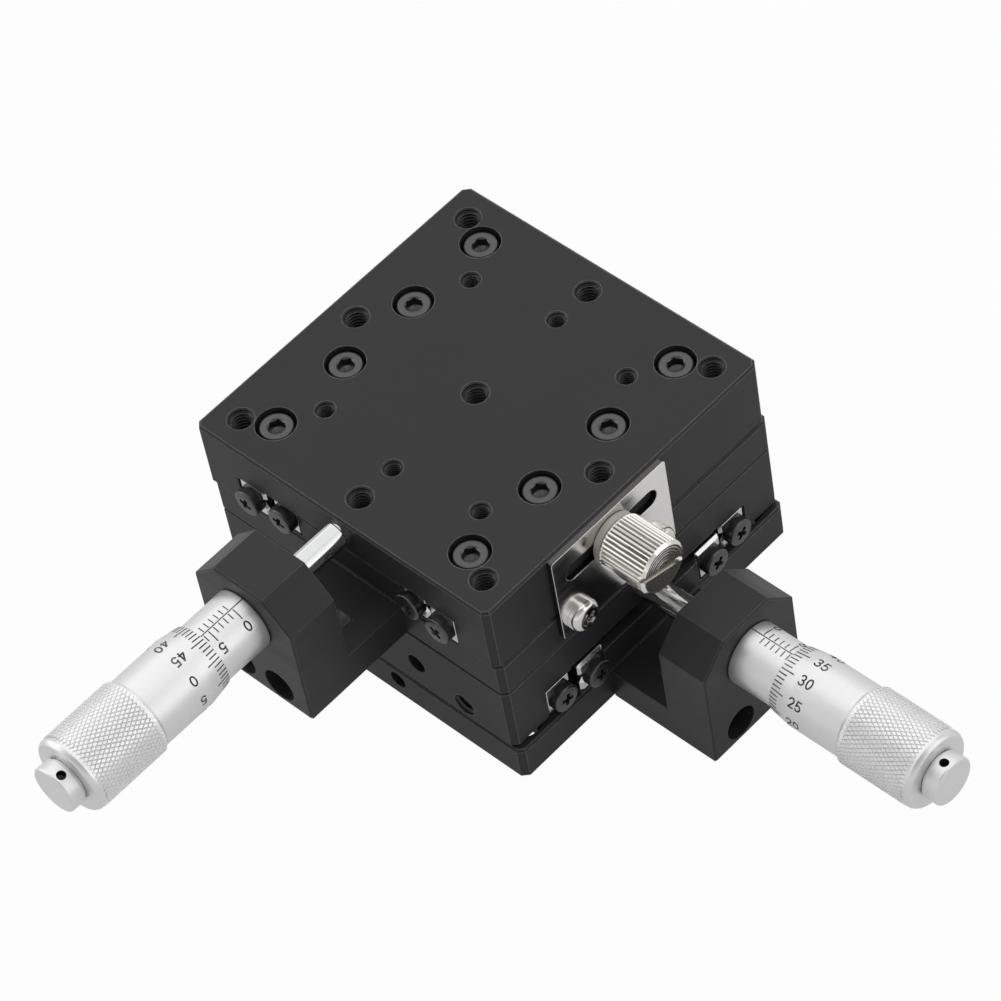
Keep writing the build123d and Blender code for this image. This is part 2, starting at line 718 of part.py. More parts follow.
for unit in (x_unit, y_unit):
    make_base_plate(unit)
    make_table_plate(unit)
    make_rails(unit, unit.base, "base_rails", base_rail_centre, base_screw_line, base_stop_points)
    make_rails(unit, unit.table, "table_rails", table_rail_centre, table_screw_line, table_stop_points)
    make_stop_screws(unit, unit.base, "base_stop_screws", base_stop_points)
    make_stop_screws(unit, unit.table, "table_stop_screws", table_stop_points)
    make_rail_screws(unit)
    make_preload_screws(unit)
    make_cage(unit, -1, "left")
    make_cage(unit, 1, "right")
    make_bracket(unit)
    make_micrometer(unit)
    make_spring(unit)
    make_lock(unit)

# Cap screws that hold the upper unit's base plate on the lower unit's table
with BuildPart() as joining_screws:
    joining_seat = y_base.offset(base_thickness - m4_head_recess - m4.head_height)
    add_cap_screws(joining_seat, mounting_points, m4, joining_screw_length)
save(joining_screws.part, "joining_screws")
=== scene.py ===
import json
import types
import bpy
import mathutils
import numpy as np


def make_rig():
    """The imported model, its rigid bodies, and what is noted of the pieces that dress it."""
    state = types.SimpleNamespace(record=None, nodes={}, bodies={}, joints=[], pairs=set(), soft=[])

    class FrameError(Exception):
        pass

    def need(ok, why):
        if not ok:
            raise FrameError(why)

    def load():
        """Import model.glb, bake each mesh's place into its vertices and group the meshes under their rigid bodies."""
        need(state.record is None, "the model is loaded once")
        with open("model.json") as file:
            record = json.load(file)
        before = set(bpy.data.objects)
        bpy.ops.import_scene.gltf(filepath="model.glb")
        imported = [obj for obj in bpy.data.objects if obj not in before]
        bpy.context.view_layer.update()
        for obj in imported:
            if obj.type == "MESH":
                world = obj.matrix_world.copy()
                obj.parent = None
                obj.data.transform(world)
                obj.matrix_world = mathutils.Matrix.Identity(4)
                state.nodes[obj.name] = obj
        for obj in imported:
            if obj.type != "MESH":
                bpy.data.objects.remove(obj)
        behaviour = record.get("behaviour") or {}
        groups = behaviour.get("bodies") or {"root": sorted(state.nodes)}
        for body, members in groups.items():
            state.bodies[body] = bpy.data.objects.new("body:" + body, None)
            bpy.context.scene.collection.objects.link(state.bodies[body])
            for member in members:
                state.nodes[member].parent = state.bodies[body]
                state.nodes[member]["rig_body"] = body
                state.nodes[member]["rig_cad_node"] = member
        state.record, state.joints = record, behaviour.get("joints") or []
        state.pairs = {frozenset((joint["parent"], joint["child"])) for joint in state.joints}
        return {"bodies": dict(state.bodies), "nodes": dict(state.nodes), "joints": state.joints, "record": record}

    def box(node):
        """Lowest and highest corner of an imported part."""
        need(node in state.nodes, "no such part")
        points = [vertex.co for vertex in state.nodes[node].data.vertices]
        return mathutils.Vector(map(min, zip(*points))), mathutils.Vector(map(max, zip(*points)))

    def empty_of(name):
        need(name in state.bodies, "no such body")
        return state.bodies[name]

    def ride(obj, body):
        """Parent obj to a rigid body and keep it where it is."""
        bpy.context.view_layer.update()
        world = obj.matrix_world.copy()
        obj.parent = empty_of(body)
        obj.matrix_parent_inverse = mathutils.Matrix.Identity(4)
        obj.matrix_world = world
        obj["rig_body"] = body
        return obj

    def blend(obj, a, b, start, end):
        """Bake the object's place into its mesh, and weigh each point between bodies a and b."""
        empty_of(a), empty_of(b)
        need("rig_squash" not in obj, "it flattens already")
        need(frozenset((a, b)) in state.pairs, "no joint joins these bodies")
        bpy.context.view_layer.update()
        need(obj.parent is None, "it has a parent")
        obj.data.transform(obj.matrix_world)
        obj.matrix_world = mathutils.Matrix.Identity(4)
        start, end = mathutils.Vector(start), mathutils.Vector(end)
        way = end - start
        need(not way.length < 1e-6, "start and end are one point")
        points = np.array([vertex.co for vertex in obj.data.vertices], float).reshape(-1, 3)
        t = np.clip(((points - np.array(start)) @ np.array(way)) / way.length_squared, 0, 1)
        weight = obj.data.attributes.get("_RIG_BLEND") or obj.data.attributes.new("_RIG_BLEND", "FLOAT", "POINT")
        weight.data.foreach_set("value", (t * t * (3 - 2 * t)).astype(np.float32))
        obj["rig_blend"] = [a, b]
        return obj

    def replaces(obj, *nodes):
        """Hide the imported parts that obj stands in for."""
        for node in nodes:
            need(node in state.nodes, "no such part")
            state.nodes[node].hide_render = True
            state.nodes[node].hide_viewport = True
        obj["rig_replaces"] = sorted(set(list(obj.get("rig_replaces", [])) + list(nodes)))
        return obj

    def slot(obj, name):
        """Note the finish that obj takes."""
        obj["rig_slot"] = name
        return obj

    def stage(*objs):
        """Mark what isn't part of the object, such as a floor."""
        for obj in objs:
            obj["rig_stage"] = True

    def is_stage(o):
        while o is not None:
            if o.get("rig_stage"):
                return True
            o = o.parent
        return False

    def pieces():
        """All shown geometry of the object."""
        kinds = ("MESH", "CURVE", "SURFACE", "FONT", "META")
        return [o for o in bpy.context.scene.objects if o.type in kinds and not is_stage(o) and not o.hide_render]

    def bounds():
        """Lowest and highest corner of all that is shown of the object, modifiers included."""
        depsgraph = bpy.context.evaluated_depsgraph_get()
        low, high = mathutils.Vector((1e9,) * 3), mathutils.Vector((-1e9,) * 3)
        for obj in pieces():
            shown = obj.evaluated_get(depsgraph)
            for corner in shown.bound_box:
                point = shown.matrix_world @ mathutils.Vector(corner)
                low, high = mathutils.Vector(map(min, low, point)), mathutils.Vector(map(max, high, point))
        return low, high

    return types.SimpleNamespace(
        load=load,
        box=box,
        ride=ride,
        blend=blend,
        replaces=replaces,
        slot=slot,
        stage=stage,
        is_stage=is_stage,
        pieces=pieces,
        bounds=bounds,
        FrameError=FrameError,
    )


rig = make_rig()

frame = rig.load()

import json
import math

import bmesh
import bpy
from bpy.props import (FloatProperty, FloatVectorProperty, IntProperty,
                       PointerProperty)
from mathutils import Matrix, Vector

bl_info = {
    "name": "Crossed Roller Stage",
    "version": (1, 0, 0),
    "blender": (4, 5, 0),
    "location": "View3D > Sidebar > Stage",
    "description": "Dresses the solids of a two-axis crossed roller stage",
    "category": "Object",
}

CAD_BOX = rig.bounds()
MM = 0.001
WELD = 1e-7
UP = Vector((0, 0, 1))
JOINTS = {joint["name"]: joint for joint in frame["joints"]}


class StageSizes(bpy.types.PropertyGroup):
    lead: FloatProperty(
        name="Screw Lead", description="Travel for each turn of a thimble",
        default=0.5 * MM, unit="LENGTH")
    zero_offset: FloatProperty(
        name="Zero Mark", description="From the bracket's face to the sleeve's zero mark",
        default=2.4 * MM, unit="LENGTH")
    mark_width: FloatProperty(
        name="Mark Width", description="Width of the marks on sleeve and thimble",
        default=0.19 * MM, unit="LENGTH")
    digit_height: FloatProperty(
        name="Digit Height", description="Height of the scale's digits",
        default=1.75 * MM, unit="LENGTH")
    digit_stroke: FloatProperty(
        name="Digit Stroke", description="Width of the strokes of the scale's digits",
        default=0.26 * MM, unit="LENGTH")
    knurl_around: IntProperty(
        name="Knurl Diamonds", description="Diamonds round the thimble's knurl",
        default=56, min=12)
    knurl_along: IntProperty(
        name="Knurl Rows", description="Rows of diamonds along the knurl",
        default=10, min=4)
    knurl_depth: FloatProperty(
        name="Knurl Depth", description="Depth of the thimble's knurl",
        default=0.25 * MM, unit="LENGTH")
    flute_count: IntProperty(
        name="Thumb Screw Flutes", description="Flutes round the thumb screw's knob",
        default=40, min=8)
    flute_depth: FloatProperty(
        name="Flute Depth", description="Depth of the thumb screw's flutes",
        default=0.38 * MM, unit="LENGTH")
    m4_pitch: FloatProperty(
        name="M4 Pitch", description="Pitch of the M4 threads",
        default=0.7 * MM, unit="LENGTH")
    m3_pitch: FloatProperty(
        name="M3 Pitch", description="Pitch of the M3 threads",
        default=0.5 * MM, unit="LENGTH")


class StageColours(bpy.types.PropertyGroup):
    anodised: FloatVectorProperty(
        name="Black Anodised", description="Plates and brackets",
        default=(0.042, 0.042, 0.0425), subtype="COLOR", min=0, max=1)
    oxide: FloatVectorProperty(
        name="Black Oxide", description="Cap screws and stop screws",
        default=(0.105, 0.103, 0.102), subtype="COLOR", min=0, max=1)
    rail: FloatVectorProperty(
        name="Rail Steel", description="Ground rails and rollers",
        default=(0.66, 0.665, 0.67), subtype="COLOR", min=0, max=1)
    satin: FloatVectorProperty(
        name="Satin Chrome", description="Sleeve, thimble and end cap",
        default=(0.85, 0.85, 0.855), subtype="COLOR", min=0, max=1)
    stainless: FloatVectorProperty(
        name="Stainless", description="Lock plates",
        default=(0.87, 0.86, 0.845), subtype="COLOR", min=0, max=1)
    nickel: FloatVectorProperty(
        name="Nickel", description="Thumb screws",
        default=(0.86, 0.836, 0.796), subtype="COLOR", min=0, max=1)
    paint: FloatVectorProperty(
        name="Mark Paint", description="Paint in the micrometers' marks",
        default=(0.012, 0.012, 0.013), subtype="COLOR", min=0, max=1)
    floor: FloatVectorProperty(
        name="Floor", description="The plain floor",
        default=(0.72, 0.72, 0.72), subtype="COLOR", min=0, max=1)


def sizes():
    return bpy.context.scene.stage_sizes


def colours():
    return bpy.context.scene.stage_colours


class Seat:
    """A local frame: out is the way that a piece faces, up and side lie across it."""

    def __init__(self, origin, out, up=UP):
        self.origin = Vector(origin)
        self.out = Vector(out).normalized()
        up = Vector(up)
        self.up = (up - self.out * up.dot(self.out)).normalized()
        self.side = self.out.cross(self.up)

    def at(self, along, radius=0.0, angle=0.0):
        """A point by its distance along, its radius and its angle from up towards side."""
        across = self.up * math.cos(angle) + self.side * math.sin(angle)
        return self.origin + self.out * along + across * radius

    def point(self, side, up, along):
        return self.origin + self.side * side + self.up * up + self.out * along


def span(node, direction):
    """Lowest and highest reach of a node's box along a direction."""
    low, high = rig.box(node)
    corners = [Vector((x, y, z)) for x in (low[0], high[0]) for y in (low[1], high[1])
               for z in (low[2], high[2])]
    reach = [corner.dot(direction) for corner in corners]
    return min(reach), max(reach)


class Unit:
    """One axis of the stage: its directions and the places that its pieces share."""

    def __init__(self, name, base, table):
        self.name = name
        self.base = base
        self.table = table
        joint = JOINTS[f"{name}_micrometer_turn"]
        self.out = Vector(joint["axis"]).normalized()
        self.across = UP.cross(self.out)
        self.centre = Vector(joint["pos_m"])
        self.reading = -JOINTS[f"{name}_slide"]["range_m"][0]
        self.lock = Vector(JOINTS[f"{name}_lock_turn"]["pos_m"])

    def node(self, piece):
        """Full name of one of the unit's pieces or bodies."""
        return f"{self.name}_{piece}"

    def radius(self, piece):
        """Radius of a turned piece."""
        low, high = span(self.node(piece), UP)
        return (high - low) / 2

    def along(self, piece):
        """Reach of a node along the unit's axis, counted from the micrometer's centre line."""
        low, high = span(self.node(piece), self.out)
        start = self.centre.dot(self.out)
        return low - start, high - start

    def axis_seat(self):
        return Seat(self.centre, self.out)


UNITS = (Unit("x", "base", "x_table"), Unit("y", "x_table", "y_table"))


def placed(name, data):
    """A new object in the scene."""
    made = bpy.data.objects.new(name, data)
    bpy.context.scene.collection.objects.link(made)
    return made


class Form:
    """Points and faces of one piece, gathered from several parts."""

    def __init__(self):
        self.points = []
        self.faces = []
        self.inks = []

    def add(self, points, faces, ink=0):
        first = len(self.points)
        self.points.extend(Vector(p) for p in points)
        self.faces.extend([first + i for i in face] for face in faces)
        self.inks.extend([ink] * len(faces))

    def rings(self, rings, ink=0, closed=True):
        """Faces between rings of equal count; a ring of one point closes to a tip."""
        points = [p for ring in rings for p in ring]
        faces = []
        first = 0
        for ring, after in zip(rings, rings[1:]):
            second = first + len(ring)
            count = max(len(ring), len(after))
            last = count if closed else count - 1
            for i in range(last):
                j = (i + 1) % count
                if len(ring) == 1:
                    faces.append([first, second + j, second + i])
                elif len(after) == 1:
                    faces.append([first + i, first + j, second])
                else:
                    faces.append([first + i, first + j, second + j, second + i])
            first = second
        self.add(points, faces, ink)

    def lathe(self, seat, profile, count=96, ink=0):
        """Turned surface from (along, radius) pairs."""
        rings = []
        for along, radius in profile:
            if radius <= 0:
                rings.append([seat.at(along)])
            else:
                rings.append([seat.at(along, radius, math.tau * i / count) for i in range(count)])
        self.rings(rings, ink)

    def copy_of(self, mesh, seat, ink=0):
        """Another mesh's faces, its x, y and z laid on side, up and out."""
        points = [seat.point(v.co.x, v.co.y, v.co.z) for v in mesh.vertices]
        self.add(points, [list(p.vertices) for p in mesh.polygons], ink)

    def take(self, mesh, ink_of):
        """Another mesh's faces as they lie, each with the ink that is chosen for it."""
        for face in mesh.polygons:
            corners = [mesh.vertices[i].co for i in face.vertices]
            self.add(corners, [list(range(len(corners)))], ink_of(face))

    def wire(self, path, radius, count=8):
        """Round wire along a path of points."""
        rings = []
        angles = [math.tau * k / count for k in range(count)]
        side = (path[1] - path[0]).orthogonal()
        for i, point in enumerate(path):
            ahead = (path[min(i + 1, len(path) - 1)] - path[max(i - 1, 0)]).normalized()
            side = (side - ahead * side.dot(ahead)).normalized()
            over = ahead.cross(side)
            rings.append([point + (side * math.cos(a) + over * math.sin(a)) * radius for a in angles])
        self.rings([[path[0]]] + rings + [[path[-1]]])

    def mesh(self, name, materials=()):
        """The form as a mesh, its seams welded and its faces turned outwards."""
        made = bpy.data.meshes.new(name)
        made.from_pydata([tuple(p) for p in self.points], [], self.faces)
        for material in materials:
            made.materials.append(material)
        for face, ink in zip(made.polygons, self.inks):
            face.material_index = ink
            face.use_smooth = True
        welded = bmesh.new()
        welded.from_mesh(made)
        bmesh.ops.remove_doubles(welded, verts=welded.verts, dist=WELD)
        bmesh.ops.recalc_face_normals(welded, faces=welded.faces)
        welded.to_mesh(made)
        welded.free()
        return made

    def piece(self, name, body, materials, slot, replaces=(), smooth=32, stretch=None):
        """Makes the object, set on its body, or stretched between two bodies."""
        mesh = self.mesh(name, materials)
        mesh.set_sharp_from_angle(angle=math.radians(smooth))
        mesh.validate()
        made = placed(name, mesh)
        if stretch:
            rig.blend(made, body, *stretch)
        else:
            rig.ride(made, body)
        if replaces:
            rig.replaces(made, *replaces)
        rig.slot(made, slot)


def hexagon_radius(angle, flat):
    """Radius of a hexagon with that distance from centre to flat, in a direction."""
    sector = math.pi / 3
    return flat / math.cos((angle % sector) - sector / 2)


def cut_mesh(body, cutters):
    """A closed form less its cutters, as a mesh."""
    made = [placed("cut", form.mesh("cut")) for form in [body] + cutters]
    for cutter in made[1:]:
        step = made[0].modifiers.new("cut", "BOOLEAN")
        step.operation = "DIFFERENCE"
        step.solver = "EXACT"
        step.object = cutter
    bpy.context.view_layer.update()
    graph = bpy.context.evaluated_depsgraph_get()
    result = bpy.data.meshes.new_from_object(made[0].evaluated_get(graph))
    for thing in made:
        bpy.data.objects.remove(thing)
    return result


def box_form(seat, width, height, start, end, taper=1.0):
    """A box across the seat, from start to end, where its width and height are tapered."""
    form = Form()
    points = [seat.point(x * width * share / 2, y * height * share / 2, along)
              for along, share in ((start, 1.0), (end, taper))
              for x, y in ((-1, -1), (1, -1), (1, 1), (-1, 1))]
    walls = [[i, (i + 1) % 4, 4 + (i + 1) % 4, 4 + i] for i in range(4)]
    form.add(points, [[3, 2, 1, 0], [4, 5, 6, 7]] + walls)
    return form


def group(name, inputs, outputs):
    """A new shader node group with named sockets, and its two end nodes."""
    tree = bpy.data.node_groups.new(name, "ShaderNodeTree")
    for label, kind, value in inputs:
        socket = tree.interface.new_socket(name=label, in_out="INPUT", socket_type=kind)
        socket.default_value = value
    for label, kind in outputs:
        tree.interface.new_socket(name=label, in_out="OUTPUT", socket_type=kind)
    return tree, tree.nodes.new("NodeGroupInput"), tree.nodes.new("NodeGroupOutput")


def put(tree, kind, values=None, **settings):
    """Adds a node, with its settings, and values or links for its inputs."""
    made = tree.nodes.new(kind)
    for key, value in settings.items():
        setattr(made, key, value)
    for key, value in (values or {}).items():
        if isinstance(value, bpy.types.NodeSocket):
            tree.links.new(value, made.inputs[key])
        else:
            made.inputs[key].default_value = value
    return made


def blank(holder):
    """The emptied node tree of a material or a world."""
    holder.use_nodes = True
    holder.node_tree.nodes.clear()
    return holder.node_tree


def calc(tree, operation, first, second=0.0, clamp=False):
    made = put(tree, "ShaderNodeMath", {0: first, 1: second}, operation=operation, use_clamp=clamp)
    return made.outputs[0]


def vectors(tree, operation, first, second):
    """One step of vector arithmetic."""
    return put(tree, "ShaderNodeVectorMath", {0: first, 1: second}, operation=operation).outputs


def noise(tree, scale, detail, vector=None, **more):
    """Noise over the object's own coordinates, or over another vector."""
    if vector is None:
        vector = put(tree, "ShaderNodeTexCoord").outputs["Object"]
    made = put(tree, "ShaderNodeTexNoise", {"Vector": vector, "Scale": scale, "Detail": detail, **more})
    return made.outputs["Fac"]


def mapped(tree, value, low, high, to_low=0.0, to_high=1.0):
    """Lays the values from low to high on another range."""
    made = put(tree, "ShaderNodeMapRange", {"Value": value, "From Min": low, "From Max": high,
                                            "To Min": to_low, "To Max": to_high})
    return made.outputs["Result"]


def mixed(tree, mask, *pair):
    """Mixes two colours, or the sockets that give them, by a mask."""
    dark, light = (c if isinstance(c, bpy.types.NodeSocket) else (*c, 1) for c in pair)
    return put(tree, "ShaderNodeMix", {0: mask, 6: dark, 7: light}, data_type="RGBA").outputs[2]


def edge_wear_group():
    """Masks convex edges, broken up by a fine noise, for paler edges that are partly wear and partly a painted
    highlight.
    """
    tree, start, end = group(
        "Edge Wear and Highlight", [("Width", "NodeSocketFloat", 0.0003), ("Breakup", "NodeSocketFloat", 900.0)],
        [("Mask", "NodeSocketFloat")])
    gain = 13.0
    geometry = put(tree, "ShaderNodeNewGeometry")
    bevel = put(tree, "ShaderNodeBevel", {"Radius": start.outputs["Width"]}, samples=6)
    facing = vectors(tree, "DOT_PRODUCT", bevel.outputs[0], geometry.outputs["Normal"])["Value"]
    edge = calc(tree, "MULTIPLY", calc(tree, "SUBTRACT", 1.0, facing), gain, clamp=True)
    kept = mapped(tree, noise(tree, start.outputs["Breakup"], 3.0), 0.3, 0.7, 0.45, 1.0)
    tree.links.new(calc(tree, "MULTIPLY", edge, kept), end.inputs["Mask"])
    return tree


def round_rim_group():
    """Normals of slightly rounded rims, for sharp solids."""
    tree, start, end = group("Rounded Rims", [("Radius", "NodeSocketFloat", 0.0002)],
                             [("Normal", "NodeSocketVector")])
    bevel = put(tree, "ShaderNodeBevel", {"Radius": start.outputs["Radius"]}, samples=6)
    tree.links.new(bevel.outputs[0], end.inputs["Normal"])
    return tree


def grain_group():
    """Fine blasted grain, with slow clouds on top."""
    tree, start, end = group(
        "Blasted Grain", [("Scale", "NodeSocketFloat", 9000.0)],
        [("Height", "NodeSocketFloat"), ("Clouds", "NodeSocketFloat")])
    cloud_scale = 55.0
    tree.links.new(noise(tree, start.outputs["Scale"], 2.0), end.inputs["Height"])
    tree.links.new(noise(tree, cloud_scale, 4.0, Roughness=0.6), end.inputs["Clouds"])
    return tree


def turned_group():
    """Fine tool lines of a turned piece: rings on its ends, and lines round its sides."""
    tree, start, end = group(
        "Turned Lines",
        [("Centre", "NodeSocketVector", (0, 0, 0)), ("Axis", "NodeSocketVector", (0, 0, 1)),
         ("Lines", "NodeSocketFloat", 6000.0)],
        [("Height", "NodeSocketFloat"), ("Bands", "NodeSocketFloat")])
    band_share = 0.17
    place = put(tree, "ShaderNodeTexCoord").outputs["Object"]
    offset = vectors(tree, "SUBTRACT", place, start.outputs["Centre"])[0]
    along = vectors(tree, "DOT_PRODUCT", offset, start.outputs["Axis"])["Value"]
    out = vectors(tree, "CROSS_PRODUCT", offset, start.outputs["Axis"])[0]
    radius = put(tree, "ShaderNodeVectorMath", {0: out}, operation="LENGTH").outputs["Value"]
    lines = put(tree, "ShaderNodeCombineXYZ", {"X": along, "Y": radius}).outputs[0]
    scale = start.outputs["Lines"]
    tree.links.new(noise(tree, scale, 2.0, lines), end.inputs["Height"])
    tree.links.new(noise(tree, calc(tree, "MULTIPLY", scale, band_share), 2.0, lines), end.inputs["Bands"])
    return tree


def brushed_group():
    """Straight brushing: noise drawn out along one direction."""
    tree, start, end = group(
        "Brushed Lines", [("Stretch", "NodeSocketVector", (60, 7000, 7000))],
        [("Height", "NodeSocketFloat"), ("Streaks", "NodeSocketFloat")])
    streak_share = 0.14
    place = put(tree, "ShaderNodeTexCoord").outputs["Object"]
    drawn = vectors(tree, "MULTIPLY", place, start.outputs["Stretch"])[0]
    tree.links.new(noise(tree, 1.0, 3.0, drawn), end.inputs["Height"])
    tree.links.new(noise(tree, streak_share, 2.0, drawn), end.inputs["Streaks"])
    return tree


def effect(tree, maker, **values):
    """Places a shared effect, built at its first use."""
    names = {edge_wear_group: "Edge Wear and Highlight", grain_group: "Blasted Grain", round_rim_group: "Rounded Rims",
             turned_group: "Turned Lines", brushed_group: "Brushed Lines"}
    shared = bpy.data.node_groups.get(names[maker]) or maker()
    made = tree.nodes.new("ShaderNodeGroup")
    made.node_tree = shared
    for key, value in values.items():
        made.inputs[key.replace("_", " ")].default_value = value
    return made


def finish(name, colour, roughness, metallic=0.0, specular=0.5):
    """A new material with its Principled shader."""
    made = bpy.data.materials.new(name)
    tree = blank(made)
    shader = put(tree, "ShaderNodeBsdfPrincipled", {
        "Base Color": (*colour, 1), "Roughness": roughness, "Metallic": metallic,
        "Specular IOR Level": specular})
    put(tree, "ShaderNodeOutputMaterial", {0: shader.outputs[0]})
    return made, tree, shader


def vary(tree, shader, mask, low, high):
    """Drives the roughness between low and high by a mask."""
    tree.links.new(mapped(tree, mask, 0.25, 0.75, low, high), shader.inputs["Roughness"])


def tint(tree, shader, mask, dark, light):
    """Mixes the base colour by a mask."""
    tree.links.new(mixed(tree, mask, dark, light), shader.inputs["Base Color"])


def bump(tree, shader, height, strength, distance, rim=0.0):
    """Fine relief, over rims of a small radius where one is given."""
    made = put(tree, "ShaderNodeBump", {"Height": height, "Strength": strength, "Distance": distance})
    if rim:
        rims = effect(tree, round_rim_group, Radius=rim)
        tree.links.new(rims.outputs["Normal"], made.inputs["Normal"])
    tree.links.new(made.outputs[0], shader.inputs["Normal"])


def worn(tree, shader, width, breakup, dark, edge):
    """Shows paler metal along the edges: partly wear, partly a painted highlight."""
    wear_and_highlight = effect(tree, edge_wear_group, Width=width, Breakup=breakup)
    tint(tree, shader, wear_and_highlight.outputs["Mask"], dark, edge)


def grained(tree, shader, scale, low, high, strength, distance, rim=0.0):
    """Fine grain, and a gloss that varies slowly between two roughnesses."""
    grain = effect(tree, grain_group, Scale=scale)
    vary(tree, shader, grain.outputs["Clouds"], low, high)
    bump(tree, shader, grain.outputs["Height"], strength, distance, rim)


def shade(colour, factor):
    return tuple(min(1.0, c * factor) for c in colour)


def anodised(name, roughness, specular, colour=None):
    """Black anodised aluminium: blasted grain, slow clouds, and paler edges that are partly wear and partly a painted
    highlight.
    """
    black = colour or tuple(colours().anodised)
    made, tree, shader = finish(name, black, roughness, specular=specular)
    # The pale grey edge tint is partly wear and partly a painted highlight on the rims.
    worn(tree, shader, 0.00022, 1400.0, black, (0.36, 0.36, 0.365))
    grained(tree, shader, 7000.0, roughness - 0.04, roughness + 0.05, 0.10, 0.00002, 0.00025)
    return made


def milled(name, stretch):
    """Black anodised over the lines that a face mill leaves."""
    black = tuple(colours().anodised)
    made, tree, shader = finish(name, black, 0.4, specular=0.22)
    lines = effect(tree, brushed_group, Stretch=stretch)
    # The paler edge tint is partly wear and partly a painted highlight.
    worn(tree, shader, 0.00022, 1400.0, black, (0.18, 0.18, 0.185))
    vary(tree, shader, lines.outputs["Streaks"], 0.34, 0.46)
    bump(tree, shader, lines.outputs["Height"], 0.12, 0.00003, 0.00025)
    return made


def ground_steel(name, stretch, roughness):
    """Ground steel, its lines along one direction."""
    steel = tuple(colours().rail)
    made, tree, shader = finish(name, steel, roughness, metallic=1.0)
    lines = effect(tree, brushed_group, Stretch=stretch)
    tint(tree, shader, lines.outputs["Streaks"], shade(steel, 0.86), shade(steel, 1.1))
    vary(tree, shader, lines.outputs["Streaks"], roughness - 0.05, roughness + 0.07)
    bump(tree, shader, lines.outputs["Height"], 0.08, 0.00001, 0.0001)
    return made


def turned_metal(name, colour, roughness, centre, axis, lines=6000.0, strength=0.1, spread=0.06,
                 metallic=1.0):
    """Turned metal, with tool lines about its own axis."""
    made, tree, shader = finish(name, colour, roughness, metallic=metallic)
    tool = effect(tree, turned_group, Centre=tuple(centre), Axis=tuple(axis), Lines=lines)
    tint(tree, shader, tool.outputs["Bands"], shade(colour, 0.97), shade(colour, 1.03))
    vary(tree, shader, tool.outputs["Bands"], roughness - spread, roughness + spread)
    bump(tree, shader, tool.outputs["Height"], strength, 0.00001)
    return made


def black_oxide(name):
    """Black oxide steel, paler along its edges: partly burnish where it is handled, partly a painted highlight."""
    black = tuple(colours().oxide)
    made, tree, shader = finish(name, black, 0.34, metallic=0.85)
    # The pale edge tint is partly burnish and partly a painted highlight.
    worn(tree, shader, 0.00012, 1800.0, black, (0.30, 0.295, 0.29))
    grained(tree, shader, 3500.0, 0.28, 0.4, 0.08, 0.00001)
    return made


def sheared_sheet(unit):
    """Brushed stainless sheet: its cut sides painted near-black as shade, and a painted highlight along the rims."""
    steel = tuple(colours().stainless)
    made, tree, shader = finish(f"Brushed Stainless {unit.name}", steel, 0.2, metallic=1.0)
    stretch = tuple(abs(c) for c in unit.out * 60 + UP * 5000 + unit.across * 5000)
    brushed = effect(tree, brushed_group, Stretch=stretch)
    normal = put(tree, "ShaderNodeTexCoord").outputs["Normal"]
    facing = vectors(tree, "DOT_PRODUCT", normal, tuple(unit.across))["Value"]
    front = calc(tree, "GREATER_THAN", calc(tree, "ABSOLUTE", facing), 0.5)
    streaks = mixed(tree, brushed.outputs["Streaks"], shade(steel, 0.9), shade(steel, 1.08))
    # The cut sides take a near-black painted shade; the faces keep the brushed streaks.
    sides = mixed(tree, front, (0.09, 0.088, 0.085), streaks)
    # A near-white painted highlight along the rims.
    worn(tree, shader, 0.00014, 900.0, sides, (0.95, 0.94, 0.93))
    vary(tree, shader, brushed.outputs["Streaks"], 0.13, 0.24)
    bump(tree, shader, brushed.outputs["Height"], 0.06, 0.00001, 0.0002)
    return made


def mark_paint():
    """Matt black paint in the engraved marks, thinner in places."""
    black = tuple(colours().paint)
    made, tree, shader = finish("Mark Paint", black, 0.6)
    worn = mapped(tree, noise(tree, 420.0, 3.0), 0.45, 0.75)
    tint(tree, shader, worn, black, (0.28, 0.27, 0.26))
    return made


def drawn_wire():
    """Drawn spring wire: faint lines along it and a little oil in the coils."""
    made, tree, shader = finish("Spring Wire", (0.52, 0.51, 0.49), 0.28, metallic=1.0)
    oil = noise(tree, 700.0, 3.0)
    bump(tree, shader, oil, 0.1, 0.0001)
    tint(tree, shader, oil, (0.3, 0.29, 0.27), (0.66, 0.65, 0.63))
    return made


def spring_path(unit):
    """Middle line of the return spring: an eye round each pin, a leg, and the coils between."""
    seat = unit.axis_seat()
    height = sum(span(unit.node("spring"), UP)) / 2 - unit.centre.z
    table_pin = sum(unit.along("table_spring_pin")) / 2
    base_pin = sum(unit.along("base_spring_pin")) / 2
    low = unit.along("spring")[0]
    wire, coil, leg, turns, steps = 0.5 * MM, 4.0 * MM, 3.5 * MM, 48, 14
    eye_gap, eye_steps = 40, 18
    eye = table_pin - low - wire / 2
    start, end = table_pin + leg, base_pin - leg
    turned = (coil - wire) / 2
    last, tapered = turns * steps, steps * 0.3

    def half(pin, way):
        points = []
        for i in range(eye_steps + 1):
            t = math.radians(eye_gap + (360 - eye_gap) * i / eye_steps)
            points.append(seat.point(eye * math.sin(t), height, pin + way * eye * math.cos(t)))
        for share in (0.35, 0.7):
            points.append(seat.point(0, height, pin + way * (eye + (leg - eye) * share)))
        return points

    coils = []
    for i in range(last + 1):
        swing = math.tau * i / steps
        ends = min(1.0, i / tapered, (last - i) / tapered)
        coils.append(seat.point(math.sin(swing) * turned * ends, height + math.cos(swing) * turned * ends,
                                start + (end - start) * i / last))
    path = half(table_pin, 1) + coils + half(base_pin, -1)[::-1]
    return path, coils[0], coils[-1], wire / 2


def dress(node, coat):
    """Puts a material on a node that keeps its own solid."""
    solid = frame["nodes"][node]
    if not solid.material_slots:
        solid.data.materials.append(coat)
    for slot in solid.material_slots:
        slot.link = "OBJECT"
        slot.material = coat


